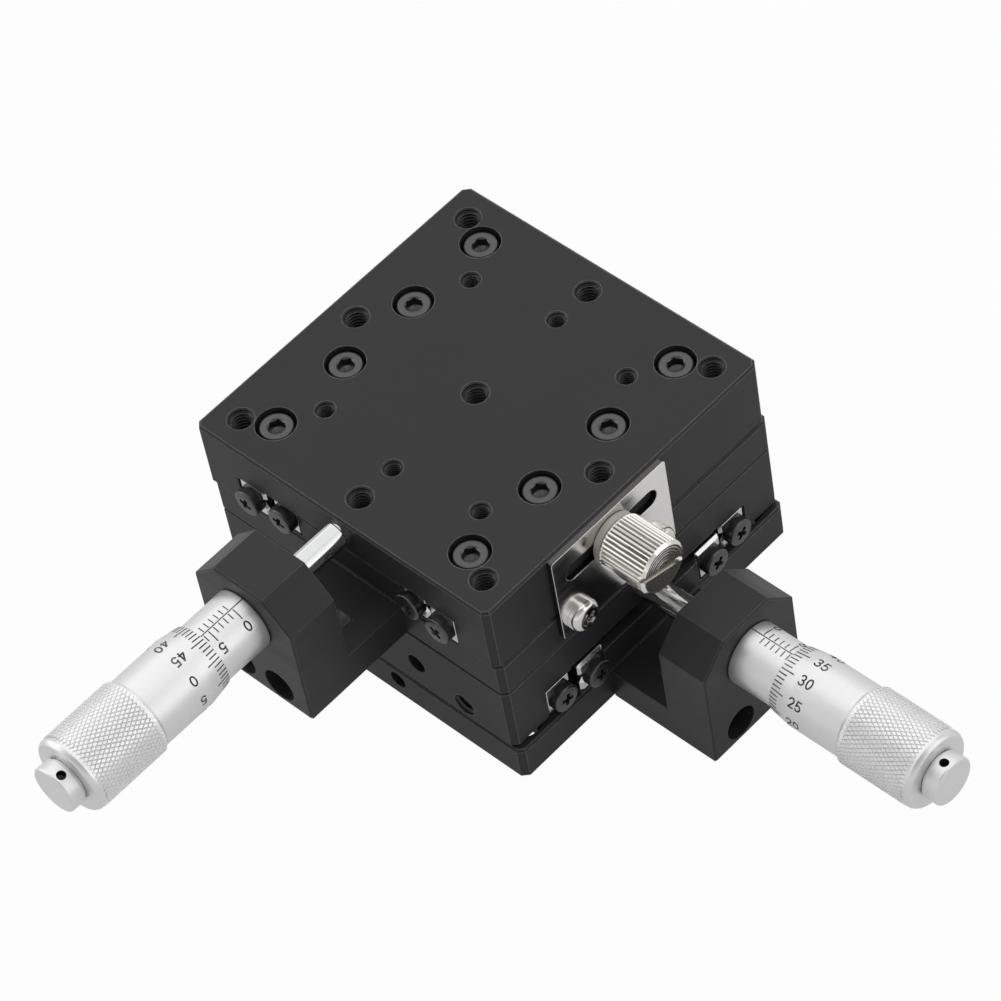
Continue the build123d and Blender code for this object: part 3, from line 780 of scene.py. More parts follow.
class STAGE_OT_plates(bpy.types.Operator):
    """Finish the plates and brackets in black anodised aluminium"""
    bl_idname = "stage.plates"
    bl_label = "Plates and Brackets"

    def execute(self, context):
        plate = anodised("Black Anodised", roughness=0.44, specular=0.2)
        for unit in UNITS:
            dress(unit.node("table_plate"), plate)
            dress(unit.node("base_plate"), plate)
            lines = unit.out * 50 + unit.across * 50 + UP * 2600
            dress(unit.node("bracket"), milled(f"Milled Black {unit.name}", tuple(abs(c) for c in lines)))
        return {"FINISHED"}


class STAGE_OT_rails(bpy.types.Operator):
    """Finish the rails, cages, rollers, spindles and springs in their steels"""
    bl_idname = "stage.rails"
    bl_label = "Rails and Rollers"

    def execute(self, context):
        wire = drawn_wire()
        for unit in UNITS:
            lines = tuple(abs(c) for c in unit.out * 60 + (unit.across + UP) * 6000)
            rail = ground_steel(f"Ground Steel {unit.name}", lines, roughness=0.17)
            strip = ground_steel(f"Cage Strip {unit.name}", lines, roughness=0.35)
            lapped = turned_metal(f"Lapped Steel {unit.name}", tuple(colours().rail), 0.12, unit.centre,
                                  unit.out, lines=5000.0, strength=0.04, spread=0.03)
            for piece in ("base_rails", "table_rails"):
                dress(unit.node(piece), rail)
            for side in ("left", "right"):
                dress(unit.node(f"{side}_cage"), strip)
                dress(unit.node(f"{side}_rollers"), lapped)
            for piece in ("anvil", "base_spring_pin", "table_spring_pin"):
                dress(unit.node(piece), lapped)
            path, table_end, base_end, radius = spring_path(unit)
            form = Form()
            form.wire(path, radius)
            form.piece(unit.node("return_spring"), unit.base, [wire], "spring_steel",
                       [unit.node("spring")], 60, (unit.table, base_end, table_end))
        return {"FINISHED"}


def shank_profile(shank, thread):
    """Profile of a threaded shank, from under its head to its tip."""
    pitch = thread / 3
    profile = []
    for i in range(int(shank / pitch)):
        profile += [(-i * pitch - share * pitch, thread * size)
                    for share, size in ((0.1, 1.0), (0.5, 0.86), (0.9, 1.0))]
    return profile + [(-shank, thread * 0.8), (-shank, 0)]


def cap_head(form, seat, radius, height, flat, shank, thread):
    """Socket cap screw, its head standing on the seat: knurled side, chamfer, hexagon, shank."""
    count = 96
    angles = [math.tau * i / count for i in range(count)]
    edge, rim, tooth = 0.26 * MM, 0.12 * MM, 0.09 * MM
    mouth, bottom = flat * 1.2, height * 0.46

    def ring(along, size, cut=0.0):
        return [seat.at(along, size - (cut if i % 2 else 0.0), a) for i, a in enumerate(angles)]

    form.rings([
        [seat.at(0)],
        ring(0, radius - 0.15 * MM),
        ring(rim, radius, tooth),
        ring(height - edge - rim, radius, tooth),
        ring(height - edge, radius),
        ring(height - 0.06 * MM, radius - edge * 0.72),
        ring(height, radius - edge),
        ring(height, (radius + mouth) / 2),
        ring(height, mouth + 0.04 * MM),
        ring(height - 0.03 * MM, mouth),
        [seat.at(height - max(0.02 * MM, mouth - hexagon_radius(a, flat)), hexagon_radius(a, flat), a)
         for a in angles],
        [seat.at(bottom, hexagon_radius(a, flat), a) for a in angles],
        ring(bottom - 0.05 * MM, flat * 0.86),
        [seat.at(bottom - flat * 0.45)],
    ])
    form.lathe(seat, [(0.02 * MM, thread)] + shank_profile(shank, thread), 40)


class STAGE_OT_cap_screws(bpy.types.Operator):
    """Build the socket cap screws of the rails, the brackets and the joint between the units"""
    bl_idname = "stage.cap_screws"
    bl_label = "Cap Screws"

    def execute(self, context):
        oxide = black_oxide("Black Oxide")
        for unit in UNITS:
            for piece, body, direction in (("table_rail_screws", unit.table, UP),
                                           ("base_rail_screws", unit.base, -UP),
                                           ("bracket_screws", unit.base, unit.out)):
                build_cap_screws(unit.node(piece), body, direction, oxide, unit)
        build_cap_screws("joining_screws", "x_table", UP, oxide, UNITS[1])
        return {"FINISHED"}


def solid_spans(node, direction):
    """Centre line and reach of each separate solid of a node, for a direction."""
    matrix = frame["nodes"][node].matrix_world
    form = bmesh.new()
    form.from_mesh(frame["nodes"][node].data)
    bmesh.ops.remove_doubles(form, verts=form.verts, dist=WELD)
    seen = set()
    found = []
    for start in form.verts:
        if start in seen:
            continue
        island = {start}
        wave = [start]
        while wave:
            point = wave.pop()
            for edge in point.link_edges:
                other = edge.other_vert(point)
                if other not in island:
                    island.add(other)
                    wave.append(other)
        seen |= island
        points = [matrix @ v.co for v in island]
        low = Vector([min(p[i] for p in points) for i in range(3)])
        high = Vector([max(p[i] for p in points) for i in range(3)])
        reach = [p.dot(direction) for p in points]
        middle = (low + high) / 2
        middle -= direction * middle.dot(direction)
        across = max((p - direction * p.dot(direction) - middle).length for p in points)
        found.append((middle, min(reach), max(reach), across))
    form.free()
    return found


def build_cap_screws(node, body, direction, oxide, unit):
    """Cap screws in place of a node's: M4 where the head is over 6 mm wide, else M3."""
    form = Form()
    first_turn, next_turn = 0.55, 0.83
    up = unit.out if abs(direction.z) > 0.5 else UP
    for index, (middle, low, high, radius) in enumerate(solid_spans(node, direction)):
        height, flat, thread = (4.0, 1.5, 1.95) if radius > 3.0 * MM else (3.0, 1.25, 1.45)
        height *= MM
        turn = Matrix.Rotation(first_turn + index * next_turn, 3, direction)
        seat = Seat(middle + direction * (high - height), direction, turn @ up)
        cap_head(form, seat, radius, height, flat * MM, high - height - low, thread * MM)
    form.piece(f"{node}_heads", body, [oxide], "black_oxide", [node], 40)


def pan_screw(radius, height, shank, thread, dome_share):
    """Pan head screw with a cross recess, as a mesh that stands on its own seat."""
    seat = Seat((0, 0, 0), (0, 0, 1), (0, 1, 0))
    rise = 0.05 * height
    face = height - rise
    round_edge = face * dome_share
    flat = radius - round_edge
    under = 0.08 * MM
    crown = [(face - round_edge * (1 - math.sin(t)), radius - round_edge * (1 - math.cos(t)))
             for t in [math.pi / 2 * k / 8 for k in range(9)]]
    dome = [(face + rise * (1 - (r / flat) ** 2), r) for r in (flat * 0.8, flat * 0.4)]
    body = Form()
    body.lathe(seat, shank_profile(shank, thread)[::-1] + [(0, thread), (0, radius - under), (under, radius)]
               + crown + dome + [(height, 0)], 64)
    long, narrow, deep = radius * 1.1, radius * 0.36, height * 0.6
    return cut_mesh(body, [box_form(seat, width, length, height * 1.2, height - deep, 0.66)
                           for width, length in ((long, narrow), (narrow, long))])


class STAGE_OT_pan_screws(bpy.types.Operator):
    """Build the cross recess screws at the rails' ends and on the lock plates"""
    bl_idname = "stage.pan_screws"
    bl_label = "Pan Screws"

    def execute(self, context):
        oxide = black_oxide("Black Oxide Pan")
        zinc = bright_zinc()
        for unit in UNITS:
            for piece, body in (("base_stop_screws", unit.base), ("table_stop_screws", unit.table)):
                build_pan_screws(unit.node(piece), body, unit.out, 1.9 * MM, oxide, "black_oxide", 0.2)
            build_pan_screws(unit.node("lock_plate_screws"), unit.base, unit.across, 2.0 * MM, zinc, "zinc",
                             0.6)
        return {"FINISHED"}


def bright_zinc():
    """Bright plated steel, a little uneven."""
    made, tree, shader = finish("Bright Zinc", (0.78, 0.76, 0.73), 0.1, metallic=1.0)
    grained(tree, shader, 1500.0, 0.06, 0.16, 0.12, 0.00003)
    return made


def build_pan_screws(node, body, direction, head_height, coat, slot, dome_share):
    """Pan screws in place of a node's, their heads on the outer side of the unit."""
    form = Form()
    meshes = {}
    thread, first_turn, next_turn = 1.2 * MM, 0.62, 1.13
    spans = solid_spans(node, direction)
    centre = sum(span(node, direction)) / 2
    single = len({round(high, 4) for _, _, high, _ in spans}) == 1
    for index, (middle, low, high, radius) in enumerate(spans):
        way = 1 if single or (low + high) / 2 > centre else -1
        key = round(radius, 5)
        if key not in meshes:
            meshes[key] = pan_screw(radius, head_height, high - low - head_height, thread, dome_share)
        face = high if way > 0 else low
        turn = Matrix.Rotation(first_turn + index * next_turn, 3, direction)
        seat = Seat(middle + direction * (face - way * head_height), direction * way, turn @ UP)
        form.copy_of(meshes[key], seat)
    form.piece(f"{node}_heads", body, [coat], slot, [node], 35)


def thread_ridge(form, seat, radius, pitch, depth, start):
    """The ridge of an internal thread, from below the mouth to the bottom of the hole."""
    steps, land, wall = 36, 0.09 * pitch, 0.47 * pitch
    count = int((depth - start) / pitch * steps)
    crest, root = radius - 0.54 * pitch, radius + 0.03 * MM
    strips = [[], [], []]
    for i in range(count + 1):
        angle = math.tau * i / steps
        along = -start - pitch * i / steps
        fade = min(1.0, i / (steps * 0.3), (count - i) / (steps * 0.3))
        inner = radius - (radius - crest) * fade
        row = [seat.at(along + offset, reach, angle)
               for offset, reach in ((wall, root), (land, inner), (-land, inner), (-wall, root))]
        for strip, pair in zip(strips, zip(row, row[1:])):
            strip.append(list(pair))
    # Ink 0 (the flanks) takes the painted shade, ink 1 (the crest land) the painted glint.
    for strip, ink in zip(strips, (0, 1, 0)):
        form.rings(strip, ink, closed=False)


class STAGE_OT_threads(bpy.types.Operator):
    """Build the threads of the table's tapped holes and of the preload holes"""
    bl_idname = "stage.threads"
    bl_label = "Threads"

    def execute(self, context):
        # Lit and shaded copies of the anodised finish: near-black painted shade on the flanks, a paler painted glint
        # on the crests.
        painted_shade_flank = anodised("Thread Flank Painted Shade", roughness=0.35, specular=0.35, colour=(0.006, 0.006, 0.006))
        crest = anodised("Thread Crest Painted Glint", roughness=0.25, specular=0.9, colour=(0.2, 0.2, 0.2))
        set_screw = black_oxide("Black Oxide Set")
        m4, m3, size = 2.0 * MM, 1.5 * MM, sizes()
        margin, square, pair, preload = 5 * MM, 16, 18, 20
        for unit in UNITS:
            low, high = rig.box(unit.node("table_plate"))
            middle = (Vector(low) + Vector(high)) / 2
            half = (high[0] - low[0]) / 2
            top = middle.copy()
            top.z = high[2]
            form = Form()
            if unit is UNITS[1]:
                pitch = half - margin
                for i in (-1, 0, 1):
                    for j in (-1, 0, 1):
                        seat = Seat(top + Vector((i * pitch, j * pitch, 0)), UP, unit.out)
                        thread_ridge(form, seat, m4, size.m4_pitch, depth=6.5 * MM, start=0.45 * MM)
                places = [unit.out * i * square * MM + unit.across * j * square * MM
                          for i in (-1, 1) for j in (-1, 1)] + [unit.out * i * pair * MM for i in (-1, 1)]
                for place in places:
                    seat = Seat(top + place, UP, unit.out)
                    thread_ridge(form, seat, m3, size.m3_pitch, depth=5.5 * MM, start=0.4 * MM)
            face = middle - unit.across * half
            low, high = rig.box(unit.node("table_rails"))
            face.z = (low[2] + high[2]) / 2
            for i in (-1, 0, 1):
                seat = Seat(face + unit.out * i * preload * MM, -unit.across, UP)
                thread_ridge(form, seat, m4, size.m4_pitch, depth=3.0 * MM, start=0.35 * MM)
            form.piece(unit.node("table_threads"), unit.table, [painted_shade_flank, crest], "black_anodised", smooth=50)
            dress(unit.node("preload_screws"), set_screw)
        return {"FINISHED"}


def knurl(form, seat, start, end, radius, depth, around, along):
    """Diamond knurl: crossed grooves leave pyramids with small flat tops."""
    step = (end - start) / along
    top_share = 0.64

    def place(u, v, height):
        return seat.at(start + v * step, radius - depth + height, math.tau * u / around)

    def diamond(u, v):
        corners = [(u + 0.5, v), (u, v + 0.5), (u - 0.5, v), (u, v - 0.5)]
        low = [place(a, b, 0) for a, b in corners]
        top = [place(u + (a - u) * top_share, v + (b - v) * top_share, depth) for a, b in corners]
        faces = [[i, (i + 1) % 4, 4 + (i + 1) % 4, 4 + i] for i in range(4)] + [[4, 5, 6, 7]]
        form.add(low + top, faces, 1)

    for i in range(around):
        for j in range(along):
            diamond(i, j + 0.5)
            if j:
                diamond(i + 0.5, j)
        for edge, inner in ((0, 0.5), (along, along - 0.5)):
            corners = [place(i, edge, 0), place(i + 1, edge, 0), place(i + 0.5, inner, 0)]
            form.add(corners, [[0, 1, 2]], 1)


class Dial:
    """The thimble's or the sleeve's surface, on which marks are wrapped."""

    def __init__(self, seat, profile):
        self.seat = seat
        self.profile = profile
        self.lift = 0.009 * MM

    def radius(self, along):
        for (s0, r0), (s1, r1) in zip(self.profile, self.profile[1:]):
            if s0 <= along <= s1:
                return r0 + (r1 - r0) * (along - s0) / (s1 - s0)
        return self.profile[-1][1]

    def place(self, along, angle):
        return self.seat.at(along, self.radius(along) + self.lift, angle)

    def patch(self, form, start, end, angle, turn):
        """A mark from start to end, centred on an angle, that covers a turn round the axis."""
        knots = [start] + [s for s, r in self.profile if start < s < end] + [end]
        rows = max(1, round(math.degrees(turn) / 4))
        for low, high in zip(knots, knots[1:]):
            for k in range(rows):
                a0 = angle - turn / 2 + turn * k / rows
                a1 = angle - turn / 2 + turn * (k + 1) / rows
                form.add([self.place(low, a0), self.place(high, a0), self.place(high, a1),
                          self.place(low, a1)], [[0, 1, 2, 3]])

    def stroke(self, form, points, width, start, angle):
        """A stroke of even width through points of (along, across) on the surface."""
        points = [Vector(p) for p in points]
        closed = (points[0] - points[-1]).length < 1e-9
        if not closed:
            points[0] += (points[0] - points[1]).normalized() * width * 0.4
            points[-1] += (points[-1] - points[-2]).normalized() * width * 0.4
        fine = [points[0]]
        for before, after in zip(points, points[1:]):
            steps = max(1, round((after - before).length / (0.16 * MM)))
            fine += [before.lerp(after, k / steps) for k in range(1, steps + 1)]
        rows = []
        for i, point in enumerate(fine):
            before = fine[i - 1] if i else fine[-2 if closed else 0]
            after = fine[(i + 1) % len(fine)] if i + 1 < len(fine) else fine[1 if closed else -1]
            way = (after - before).normalized()
            normal = Vector((-way.y, way.x)) * (width / 2)
            rows.append([self.written(point + side, start, angle) for side in (normal, -normal)])
        form.rings(rows, closed=False)

    def written(self, point, start, angle):
        along = start + point.x
        return self.place(along, angle - point.y / self.radius(along))

    def text(self, form, words, height, width, start, angle):
        """Digits that read outwards, with their tops towards smaller angles."""
        for index, digit in enumerate(words):
            left = index * DIGIT_STEP * height
            for line in DIGITS[digit]:
                points = [(left + x * height, (y - 0.5) * height) for x, y in line]
                self.stroke(form, points, width, start, angle)


def arc(x, y, rx, ry, first, last, steps=18):
    """Points of an arc of an ellipse, its angles in degrees."""
    angles = [math.radians(first + (last - first) * k / steps) for k in range(steps + 1)]
    return [(x + rx * math.cos(a), y + ry * math.sin(a)) for a in angles]


DIGITS = {
    "0": [arc(0.31, 0.5, 0.24, 0.43, 0, 360, 32)],
    "1": [[(0.14, 0.76), (0.34, 0.92)], [(0.34, 0.93), (0.34, 0.06)]],
    "2": [arc(0.31, 0.69, 0.24, 0.24, 165, -38) + [(0.10, 0.09)], [(0.10, 0.07), (0.56, 0.07)]],
    "3": [arc(0.29, 0.71, 0.21, 0.22, 155, -90), arc(0.29, 0.28, 0.25, 0.22, 90, -155)],
    "4": [[(0.43, 0.06), (0.43, 0.90)], [(0.42, 0.90), (0.07, 0.31)], [(0.07, 0.29), (0.56, 0.29)]],
    "5": [[(0.52, 0.93), (0.17, 0.93)], [(0.17, 0.91), (0.12, 0.52)],
          arc(0.30, 0.32, 0.25, 0.26, 142, -150)],
}
DIGIT_STEP = 0.74
SCALE_DIVISIONS = 50
THIMBLE_LIP = 10.95 / 2 * MM
KNURL_RISE = 0.5 * MM
INDEX_ANGLE = {"x": math.radians(-7.0), "y": math.radians(-9.0)}
CAP_HOLE_ANGLE = {"x": math.radians(2.7), "y": math.radians(-20.6)}


class STAGE_OT_micrometers(bpy.types.Operator):
    """Build both micrometers: knurled thimble, sleeve, end cap and their scales"""
    bl_idname = "stage.micrometers"
    bl_label = "Micrometers"

    def execute(self, context):
        size = sizes()
        paint = mark_paint()
        # The drilled hole's walls take a black painted shade for the hole's depth.
        hole_shade = black_oxide("Hole Painted Shade")
        for unit in UNITS:
            seat = unit.axis_seat()
            satin = turned_metal(f"Satin Chrome {unit.name}", tuple(colours().satin), 0.40, unit.centre,
                                 unit.out, lines=5200.0, strength=0.10, spread=0.03, metallic=0.82)
            face = unit.along("bracket")[1]
            front, tail = unit.along("thimble")
            self.sleeve(unit, seat, face, satin)
            self.spindle(unit, seat, bpy.data.materials[f"Lapped Steel {unit.name}"])
            self.thimble(unit, seat, front, tail, satin)
            self.end_cap(unit, seat, tail, [satin, hole_shade])
            self.sleeve_scale(unit, seat, face, front, size, paint)
            self.thimble_scale(unit, seat, front, size, paint)
        return {"FINISHED"}

    def sleeve(self, unit, seat, face, satin):
        start, end = unit.along("sleeve")
        barrel = unit.radius("sleeve")
        stem, bore, edge, step = 4.75 * MM, 2.3 * MM, 0.2 * MM, 0.14 * MM
        form = Form()
        form.lathe(seat, [
            (start, bore), (start, stem - edge), (start + edge, stem), (face, stem),
            (face, barrel - 0.4 * MM), (face + step, barrel - 0.4 * MM), (face + step, barrel - 0.07 * MM),
            (face + 0.22 * MM, barrel), (end - edge, barrel), (end, barrel - edge), (end, bore),
            (start, bore)], 144)
        form.piece(unit.node("sleeve_barrel"), unit.base, [satin], "satin_chrome", [unit.node("sleeve")])

    def spindle(self, unit, seat, polished):
        start, end = unit.along("spindle")
        radius = unit.radius("spindle")
        edge, bore, depth = 0.3 * MM, 1.5 * MM, 5.0 * MM
        form = Form()
        form.lathe(seat, [(start, 0), (start, radius - edge), (start + edge, radius), (end, radius),
                          (end, bore), (end - depth, bore), (end - depth, 0)], 96)
        form.piece(unit.node("spindle_rod"), unit.node("micrometer"), [polished], "spindle_steel",
                   [unit.node("spindle")])

    def end_cap(self, unit, seat, tail, materials):
        start, end = unit.along("end_cap")
        radius = unit.radius("end_cap")
        neck, step, bead = 3.6 * MM, tail + 0.4 * MM, 0.4 * MM
        plug, dimple, drill_radius = 1.45 * MM, 1.2 * MM, 0.75 * MM
        body = Form()
        curve = [(end - bead * (1 - math.sin(t)), radius - bead * (1 - math.cos(t)))
                 for t in (math.pi / 2 * k / 8 for k in range(9))]
        body.lathe(seat, [(start, 0), (start, plug), (tail, plug), (tail, neck), (step, neck),
                          (step, radius - 0.1 * MM), (step + 0.1 * MM, radius)] + curve
                   + [(end - 0.02 * MM, dimple), (end - 0.02 * MM, 0)], 240)
        lean = CAP_HOLE_ANGLE[unit.name]
        middle = (step + end) / 2
        across = Seat(seat.at(middle, radius + MM, lean), seat.at(0, -1, lean) - seat.at(0), seat.out)
        drill = Form()
        drill.lathe(across, [(0, 0), (0, drill_radius), (3 * MM, drill_radius), (3.3 * MM, 0)], 40)

        # Walls and bottom of the drilled hole take ink 1, the painted shade.
        def ink(face):
            offset = face.center - across.origin
            depth = offset.dot(across.out)
            wall = abs(face.normal.dot(across.out)) < 0.7 or depth > 2 * MM
            return 1 if wall and (offset - across.out * depth).length < drill_radius + 0.01 * MM else 0

        form = Form()
        form.take(cut_mesh(body, [drill]), ink)
        form.piece(unit.node("end_cap_turned"), unit.node("micrometer"), materials, "satin_chrome",
                   [unit.node("end_cap")], 0.5)

    def thimble(self, unit, seat, front, tail, satin):
        size = sizes()
        knurl_radius = unit.radius("thimble")
        smooth = knurl_radius - KNURL_RISE
        edge, depth = 0.38 * MM, size.knurl_depth
        start, end = front + 13.3 * MM, tail - 1.1 * MM
        inside, cavity, bore = front + 24 * MM, 5.26 * MM, 2.3 * MM
        form = Form()
        form.lathe(seat, [
            (inside, bore), (inside, cavity), (front + 0.08 * MM, cavity),
            (front, THIMBLE_LIP - 0.08 * MM), (front + 0.06 * MM, THIMBLE_LIP),
            (front + 3.6 * MM, smooth - 0.01 * MM), (front + 3.72 * MM, smooth),
            (start - 0.05 * MM, smooth), (start, smooth + 0.05 * MM)], 132)
        form.lathe(seat, [
            (start, smooth + 0.05 * MM), (start + 0.04 * MM, knurl_radius - edge),
            (start + edge, knurl_radius - depth)], 132)
        knurl(form, seat, start + edge, end, knurl_radius, depth, size.knurl_around, size.knurl_along)
        form.lathe(seat, [
            (end, knurl_radius - depth), (end + 0.03 * MM, knurl_radius - 0.12 * MM),
            (end + 0.35 * MM, knurl_radius - 0.1 * MM), (tail - 0.45 * MM, knurl_radius - 0.22 * MM),
            (tail - 0.18 * MM, knurl_radius - 0.38 * MM), (tail, smooth - 0.1 * MM), (tail, 3.75 * MM),
            (tail - 0.35 * MM, 3.7 * MM), (tail - 0.35 * MM, bore), (inside, bore)], 132)
        crossed = turned_metal(f"Knurled Satin {unit.name}", (0.96, 0.96, 0.965), 0.34, unit.centre,
                               unit.out, lines=3000.0, strength=0.05, spread=0.03, metallic=0.7)
        form.piece(unit.node("thimble_knurled"), unit.node("micrometer"), [satin, crossed], "satin_chrome",
                   [unit.node("thimble")], 24)

    def sleeve_scale(self, unit, seat, face, front, size, paint):
        radius = unit.radius("sleeve")
        dial = Dial(seat, [(face, radius), (face + 0.03, radius)])
        angle = INDEX_ANGLE[unit.name]
        half_line = size.mark_width / 2
        hidden = front + 1.5 * MM
        gap, tick, long_tick, travel = 0.22 * MM, 1.15 * MM, 2.0 * MM, 13
        form = Form()
        dial.patch(form, face + 0.05 * MM, hidden, angle, size.mark_width / radius)
        for k in range(travel + 1):
            along = face + size.zero_offset + k * MM
            if along > hidden:
                break
            reach = long_tick if k % 5 == 0 else tick
            dial.patch(form, along - half_line, along + half_line, angle - (gap + reach / 2) / radius,
                       reach / radius)
            if k % 5 == 0:
                dial.text(form, str(k), size.digit_height, size.digit_stroke, along - 0.5 * MM,
                          angle - (gap + reach + 0.4 * MM + size.digit_height / 2) / radius)
            if along + 0.5 * MM < hidden:
                dial.patch(form, along + 0.5 * MM - half_line, along + 0.5 * MM + half_line,
                           angle + (gap + 0.575 * MM) / radius, tick / radius)
        form.piece(unit.node("sleeve_scale"), unit.base, [paint], "black_oxide")

    def thimble_scale(self, unit, seat, front, size, paint):
        smooth = unit.radius("thimble") - KNURL_RISE
        dial = Dial(seat, [(front, THIMBLE_LIP), (front + 3.65 * MM, smooth), (front + 0.03, smooth)])
        value_at_index = (unit.reading % size.lead) / size.lead * SCALE_DIVISIONS
        tick, long_tick, digits_end = 1.6 * MM, 2.5 * MM, 6.15 * MM
        start = front + 0.06 * MM
        form = Form()
        for k in range(SCALE_DIVISIONS):
            angle = INDEX_ANGLE[unit.name] - (k - value_at_index) * math.tau / SCALE_DIVISIONS
            reach = long_tick if k % 5 == 0 else tick
            dial.patch(form, start, start + reach, angle, size.mark_width / THIMBLE_LIP)
            if k % 5 == 0:
                width = (0.62 + DIGIT_STEP * (len(str(k)) - 1)) * size.digit_height
                dial.text(form, str(k), size.digit_height, size.digit_stroke, front + (digits_end - width),
                          angle)
        form.piece(unit.node("thimble_scale"), unit.node("micrometer"), [paint], "black_oxide")


class STAGE_OT_locks(bpy.types.Operator):
    """Finish the lock plates and build the knurled thumb screws"""
    bl_idname = "stage.locks"
    bl_label = "Locks"

    def execute(self, context):
        for unit in UNITS:
            dress(unit.node("lock_plate"), sheared_sheet(unit))
            self.knob(unit)
        return {"FINISHED"}

    def tool_rings(self, ring, outer):
        """The rings that the tool left in the knob's end, from the rim inwards."""
        made = []
        for share in (0.82, 0.70, 0.60, 0.46, 0.36, 0.2):
            made += [ring(outer - 0.01 * MM, share + 0.03, 0), ring(outer - 0.04 * MM, share, 0),
                     ring(outer - 0.02 * MM, share - 0.02, 0)]
        return made

    def knob(self, unit):
        size = sizes()
        node = unit.node("thumb_screw")
        low, high = span(node, unit.across)
        start = unit.lock.dot(unit.across)
        inner, outer = low - start, high - start
        seat = Seat(unit.lock, unit.across, UP)
        nickel = turned_metal(f"Bright Nickel {unit.name}", tuple(colours().nickel), 0.16, unit.lock,
                              unit.across, lines=3600.0, strength=0.35, spread=0.05)
        collar, tree, shader = finish(f"Pale Collar {unit.name}", (0.52, 0.50, 0.46), 0.5)
        grained(tree, shader, 2500.0, 0.42, 0.58, 0.1, 0.00002)
        # Painted shade in the flute valleys: darker nickel where the flutes are deep.
        painted_valley_shade = turned_metal(f"Flute Valley Painted Shade {unit.name}", (0.36, 0.34, 0.31), 0.3, unit.lock, unit.across)
        radius, length, collar_length = 4.6 * MM, 9.0 * MM, 1.2 * MM
        collar_radius, collar_edge, thread = 4.25 * MM, 4.1 * MM, 1.4 * MM
        knob_start = outer - length
        collar_start = knob_start - collar_length
        count, depth = size.flute_count * 4, size.flute_depth
        shape = (0.0, 0.35, 1.0, 0.35)

        def ring(along, scale, cut):
            return [seat.at(along, radius * scale - cut * shape[i % 4], math.tau * i / count)
                    for i in range(count)]

        body = Form()
        sides = [ring(along, scale, cut) for along, scale, cut in (
            (knob_start, 0.86, 0), (knob_start + 0.45 * MM, 0.985, 0), (knob_start + 0.6 * MM, 1.0, depth),
            (outer - 0.62 * MM, 1.0, depth), (outer - 0.5 * MM, 0.985, 0), (outer - 0.14 * MM, 0.915, 0),
            (outer, 0.885, 0))]
        body.rings([[seat.at(knob_start)]] + sides + self.tool_rings(ring, outer)
                   + [[seat.at(outer - 0.04 * MM)]])
        lean = math.radians(-16)
        slot_seat = Seat(seat.origin, seat.out, UP * math.sin(lean) - unit.out * math.cos(lean))
        cutter = box_form(slot_seat, 1.0 * MM, 12 * MM, outer + 1 * MM, outer - 0.9 * MM)

        # Faces deep in the flutes take ink 2, the painted shade.
        def ink(face):
            offset = face.center - seat.origin
            reach = (offset - seat.out * offset.dot(seat.out)).length
            valley = radius - depth < reach < radius - depth * 0.6
            return 2 if valley and abs(face.normal.dot(seat.out)) < 0.3 else 0

        form = Form()
        form.take(cut_mesh(body, [cutter]), ink)
        form.lathe(seat, [(collar_start, 0), (collar_start, collar_edge),
                          (collar_start + 0.15 * MM, collar_radius), (knob_start - 0.1 * MM, collar_radius),
                          (knob_start, collar_edge), (knob_start, 0)], 96, ink=1)
        form.lathe(seat, [(collar_start, thread), (inner, thread), (inner, 0)], 40)
        form.piece(f"{node}_knurled", unit.node("lock_screw"), [nickel, collar, painted_valley_shade], "knob_nickel",
                   [node], 28)


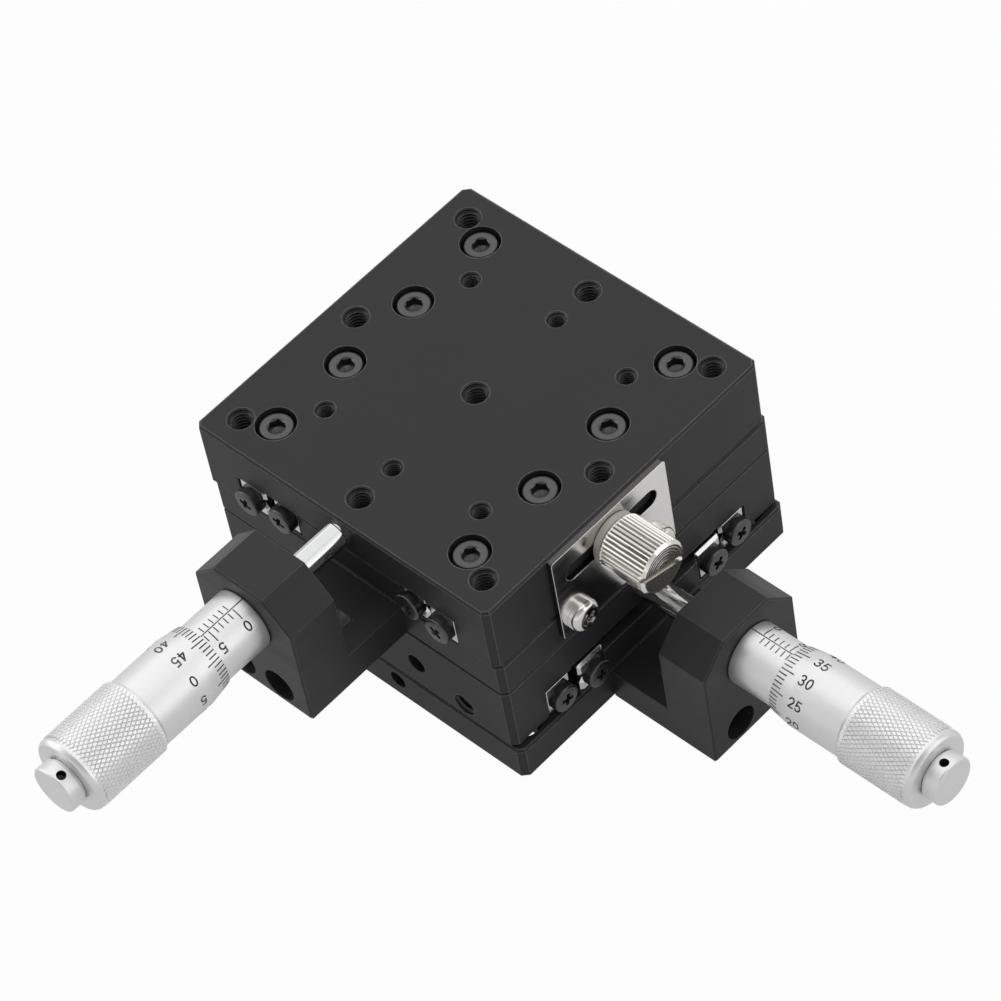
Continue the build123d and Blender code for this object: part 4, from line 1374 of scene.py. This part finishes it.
class STAGE_OT_studio(bpy.types.Operator):
    """Lay the floor, hang the lamps and place the camera"""
    bl_idname = "stage.studio"
    bl_label = "Studio"

    def execute(self, context):
        self.camera()
        self.floor()
        self.world()
        self.lamp("Top Softbox", (-0.25, 0.25, 0.9), size=1.5, power=5.8)
        self.lamp("Left Softbox", (-0.9, -0.5, 0.5), size=0.9, power=2.5)
        self.lamp("Right Softbox", (0.8, 0.5, 0.6), size=0.9, power=2.0)
        context.scene.view_settings.view_transform = "Standard"
        return {"FINISHED"}

    def camera(self):
        lens = bpy.data.cameras.new("Camera")
        picture_width, focal_length = 1001, 4775.88
        lens.sensor_width = 36.0
        lens.lens = focal_length / picture_width * 36.0
        lens.clip_end = 20.0
        made = placed("Camera", lens)
        right = Vector((0.72670002, 0.67540872, -0.12541985))
        down = Vector((0.47115421, -0.62290161, -0.62450564))
        ahead = Vector((-0.49992078, 0.39473617, -0.77088428))
        turn = Matrix((right, -down, -ahead)).transposed()
        made.matrix_world = Matrix.Translation((0.36449, -0.28845, 0.57723)) @ turn.to_4x4()
        bpy.context.scene.camera = made

    def seen(self, tree, path):
        """True where the camera looks, also through a clear thing."""
        return calc(tree, "MAXIMUM", path["Is Camera Ray"], path["Is Transmission Ray"])

    def floor(self):
        n, half = 8, 3.0
        points = [(-half + 2 * half * i / n, -half + 2 * half * j / n, 0) for j in range(n + 1)
                  for i in range(n + 1)]
        faces = [[j * (n + 1) + i, j * (n + 1) + i + 1, (j + 1) * (n + 1) + i + 1, (j + 1) * (n + 1) + i]
                 for j in range(n) for i in range(n)]
        mesh = bpy.data.meshes.new("Floor")
        mesh.from_pydata(points, [], faces)
        made = bpy.data.materials.new("Plain Floor")
        tree = blank(made)
        plain = put(tree, "ShaderNodeBsdfDiffuse", {"Color": (*colours().floor, 1)})
        white = put(tree, "ShaderNodeEmission", {"Color": (1, 1, 1, 1), "Strength": 1.0})
        path = put(tree, "ShaderNodeLightPath").outputs
        share = calc(tree, "MAXIMUM", calc(tree, "MULTIPLY", self.seen(tree, path), 0.97),
                     calc(tree, "MULTIPLY", path["Is Glossy Ray"], 0.4))
        both = put(tree, "ShaderNodeMixShader", {0: share, 1: plain.outputs[0], 2: white.outputs[0]})
        put(tree, "ShaderNodeOutputMaterial", {0: both.outputs[0]})
        mesh.materials.append(made)
        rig.stage(placed("Floor", mesh))

    def world(self):
        made = bpy.data.worlds.new("Studio")
        bpy.context.scene.world = made
        tree = blank(made)
        path = put(tree, "ShaderNodeLightPath").outputs
        place = put(tree, "ShaderNodeTexCoord")
        split = put(tree, "ShaderNodeSeparateXYZ", {0: place.outputs["Generated"]})
        ceiling = mapped(tree, split.outputs["Z"], 0.05, 0.75, 0.95, 0.35)
        soft = put(tree, "ShaderNodeMix", {0: path["Is Glossy Ray"], 2: 0.18, 3: ceiling}, data_type="FLOAT")
        strength = put(tree, "ShaderNodeMix", {0: self.seen(tree, path), 2: soft.outputs[0], 3: 1.0},
                       data_type="FLOAT")
        light = put(tree, "ShaderNodeBackground", {"Color": (1, 1, 1, 1), "Strength": strength.outputs[0]})
        put(tree, "ShaderNodeOutputWorld", {0: light.outputs[0]})

    def lamp(self, name, place, size, power):
        light = bpy.data.lights.new(name, "AREA")
        light.size = size
        light.energy = power
        made = placed(name, light)
        made.location = place
        aim = Vector((0, 0, 0.02)) - Vector(place)
        made.rotation_euler = aim.to_track_quat("-Z", "Y").to_euler()


class STAGE_PT_panel(bpy.types.Panel):
    """Sizes, colours and build steps of the stage"""
    bl_idname = "STAGE_PT_panel"
    bl_label = "Crossed Roller Stage"
    bl_space_type = "VIEW_3D"
    bl_region_type = "UI"
    bl_category = "Stage"

    def draw(self, context):
        column = self.layout.column()
        for values in (context.scene.stage_sizes, context.scene.stage_colours):
            for name in values.__annotations__:
                column.prop(values, name)
        for operator in OPERATORS:
            column.operator(operator.bl_idname)


OPERATORS = (STAGE_OT_plates, STAGE_OT_rails, STAGE_OT_cap_screws, STAGE_OT_pan_screws, STAGE_OT_threads,
             STAGE_OT_micrometers, STAGE_OT_locks, STAGE_OT_studio)
CLASSES = (StageSizes, StageColours) + OPERATORS + (STAGE_PT_panel,)


def register():
    for kind in CLASSES:
        bpy.utils.register_class(kind)
    bpy.types.Scene.stage_sizes = PointerProperty(type=StageSizes)
    bpy.types.Scene.stage_colours = PointerProperty(type=StageColours)


def unregister():
    del bpy.types.Scene.stage_colours
    del bpy.types.Scene.stage_sizes
    for kind in reversed(CLASSES):
        bpy.utils.unregister_class(kind)


def main():
    register()
    bpy.ops.stage.plates()
    bpy.ops.stage.rails()
    bpy.ops.stage.cap_screws()
    bpy.ops.stage.pan_screws()
    bpy.ops.stage.threads()
    bpy.ops.stage.micrometers()
    bpy.ops.stage.locks()
    bpy.ops.stage.studio()
    boxes = [[list(corner) for corner in CAD_BOX], [list(corner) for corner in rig.bounds()]]
    with open("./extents.json", "w") as out:
        json.dump(boxes, out)


if __name__ == "__main__":
    main()
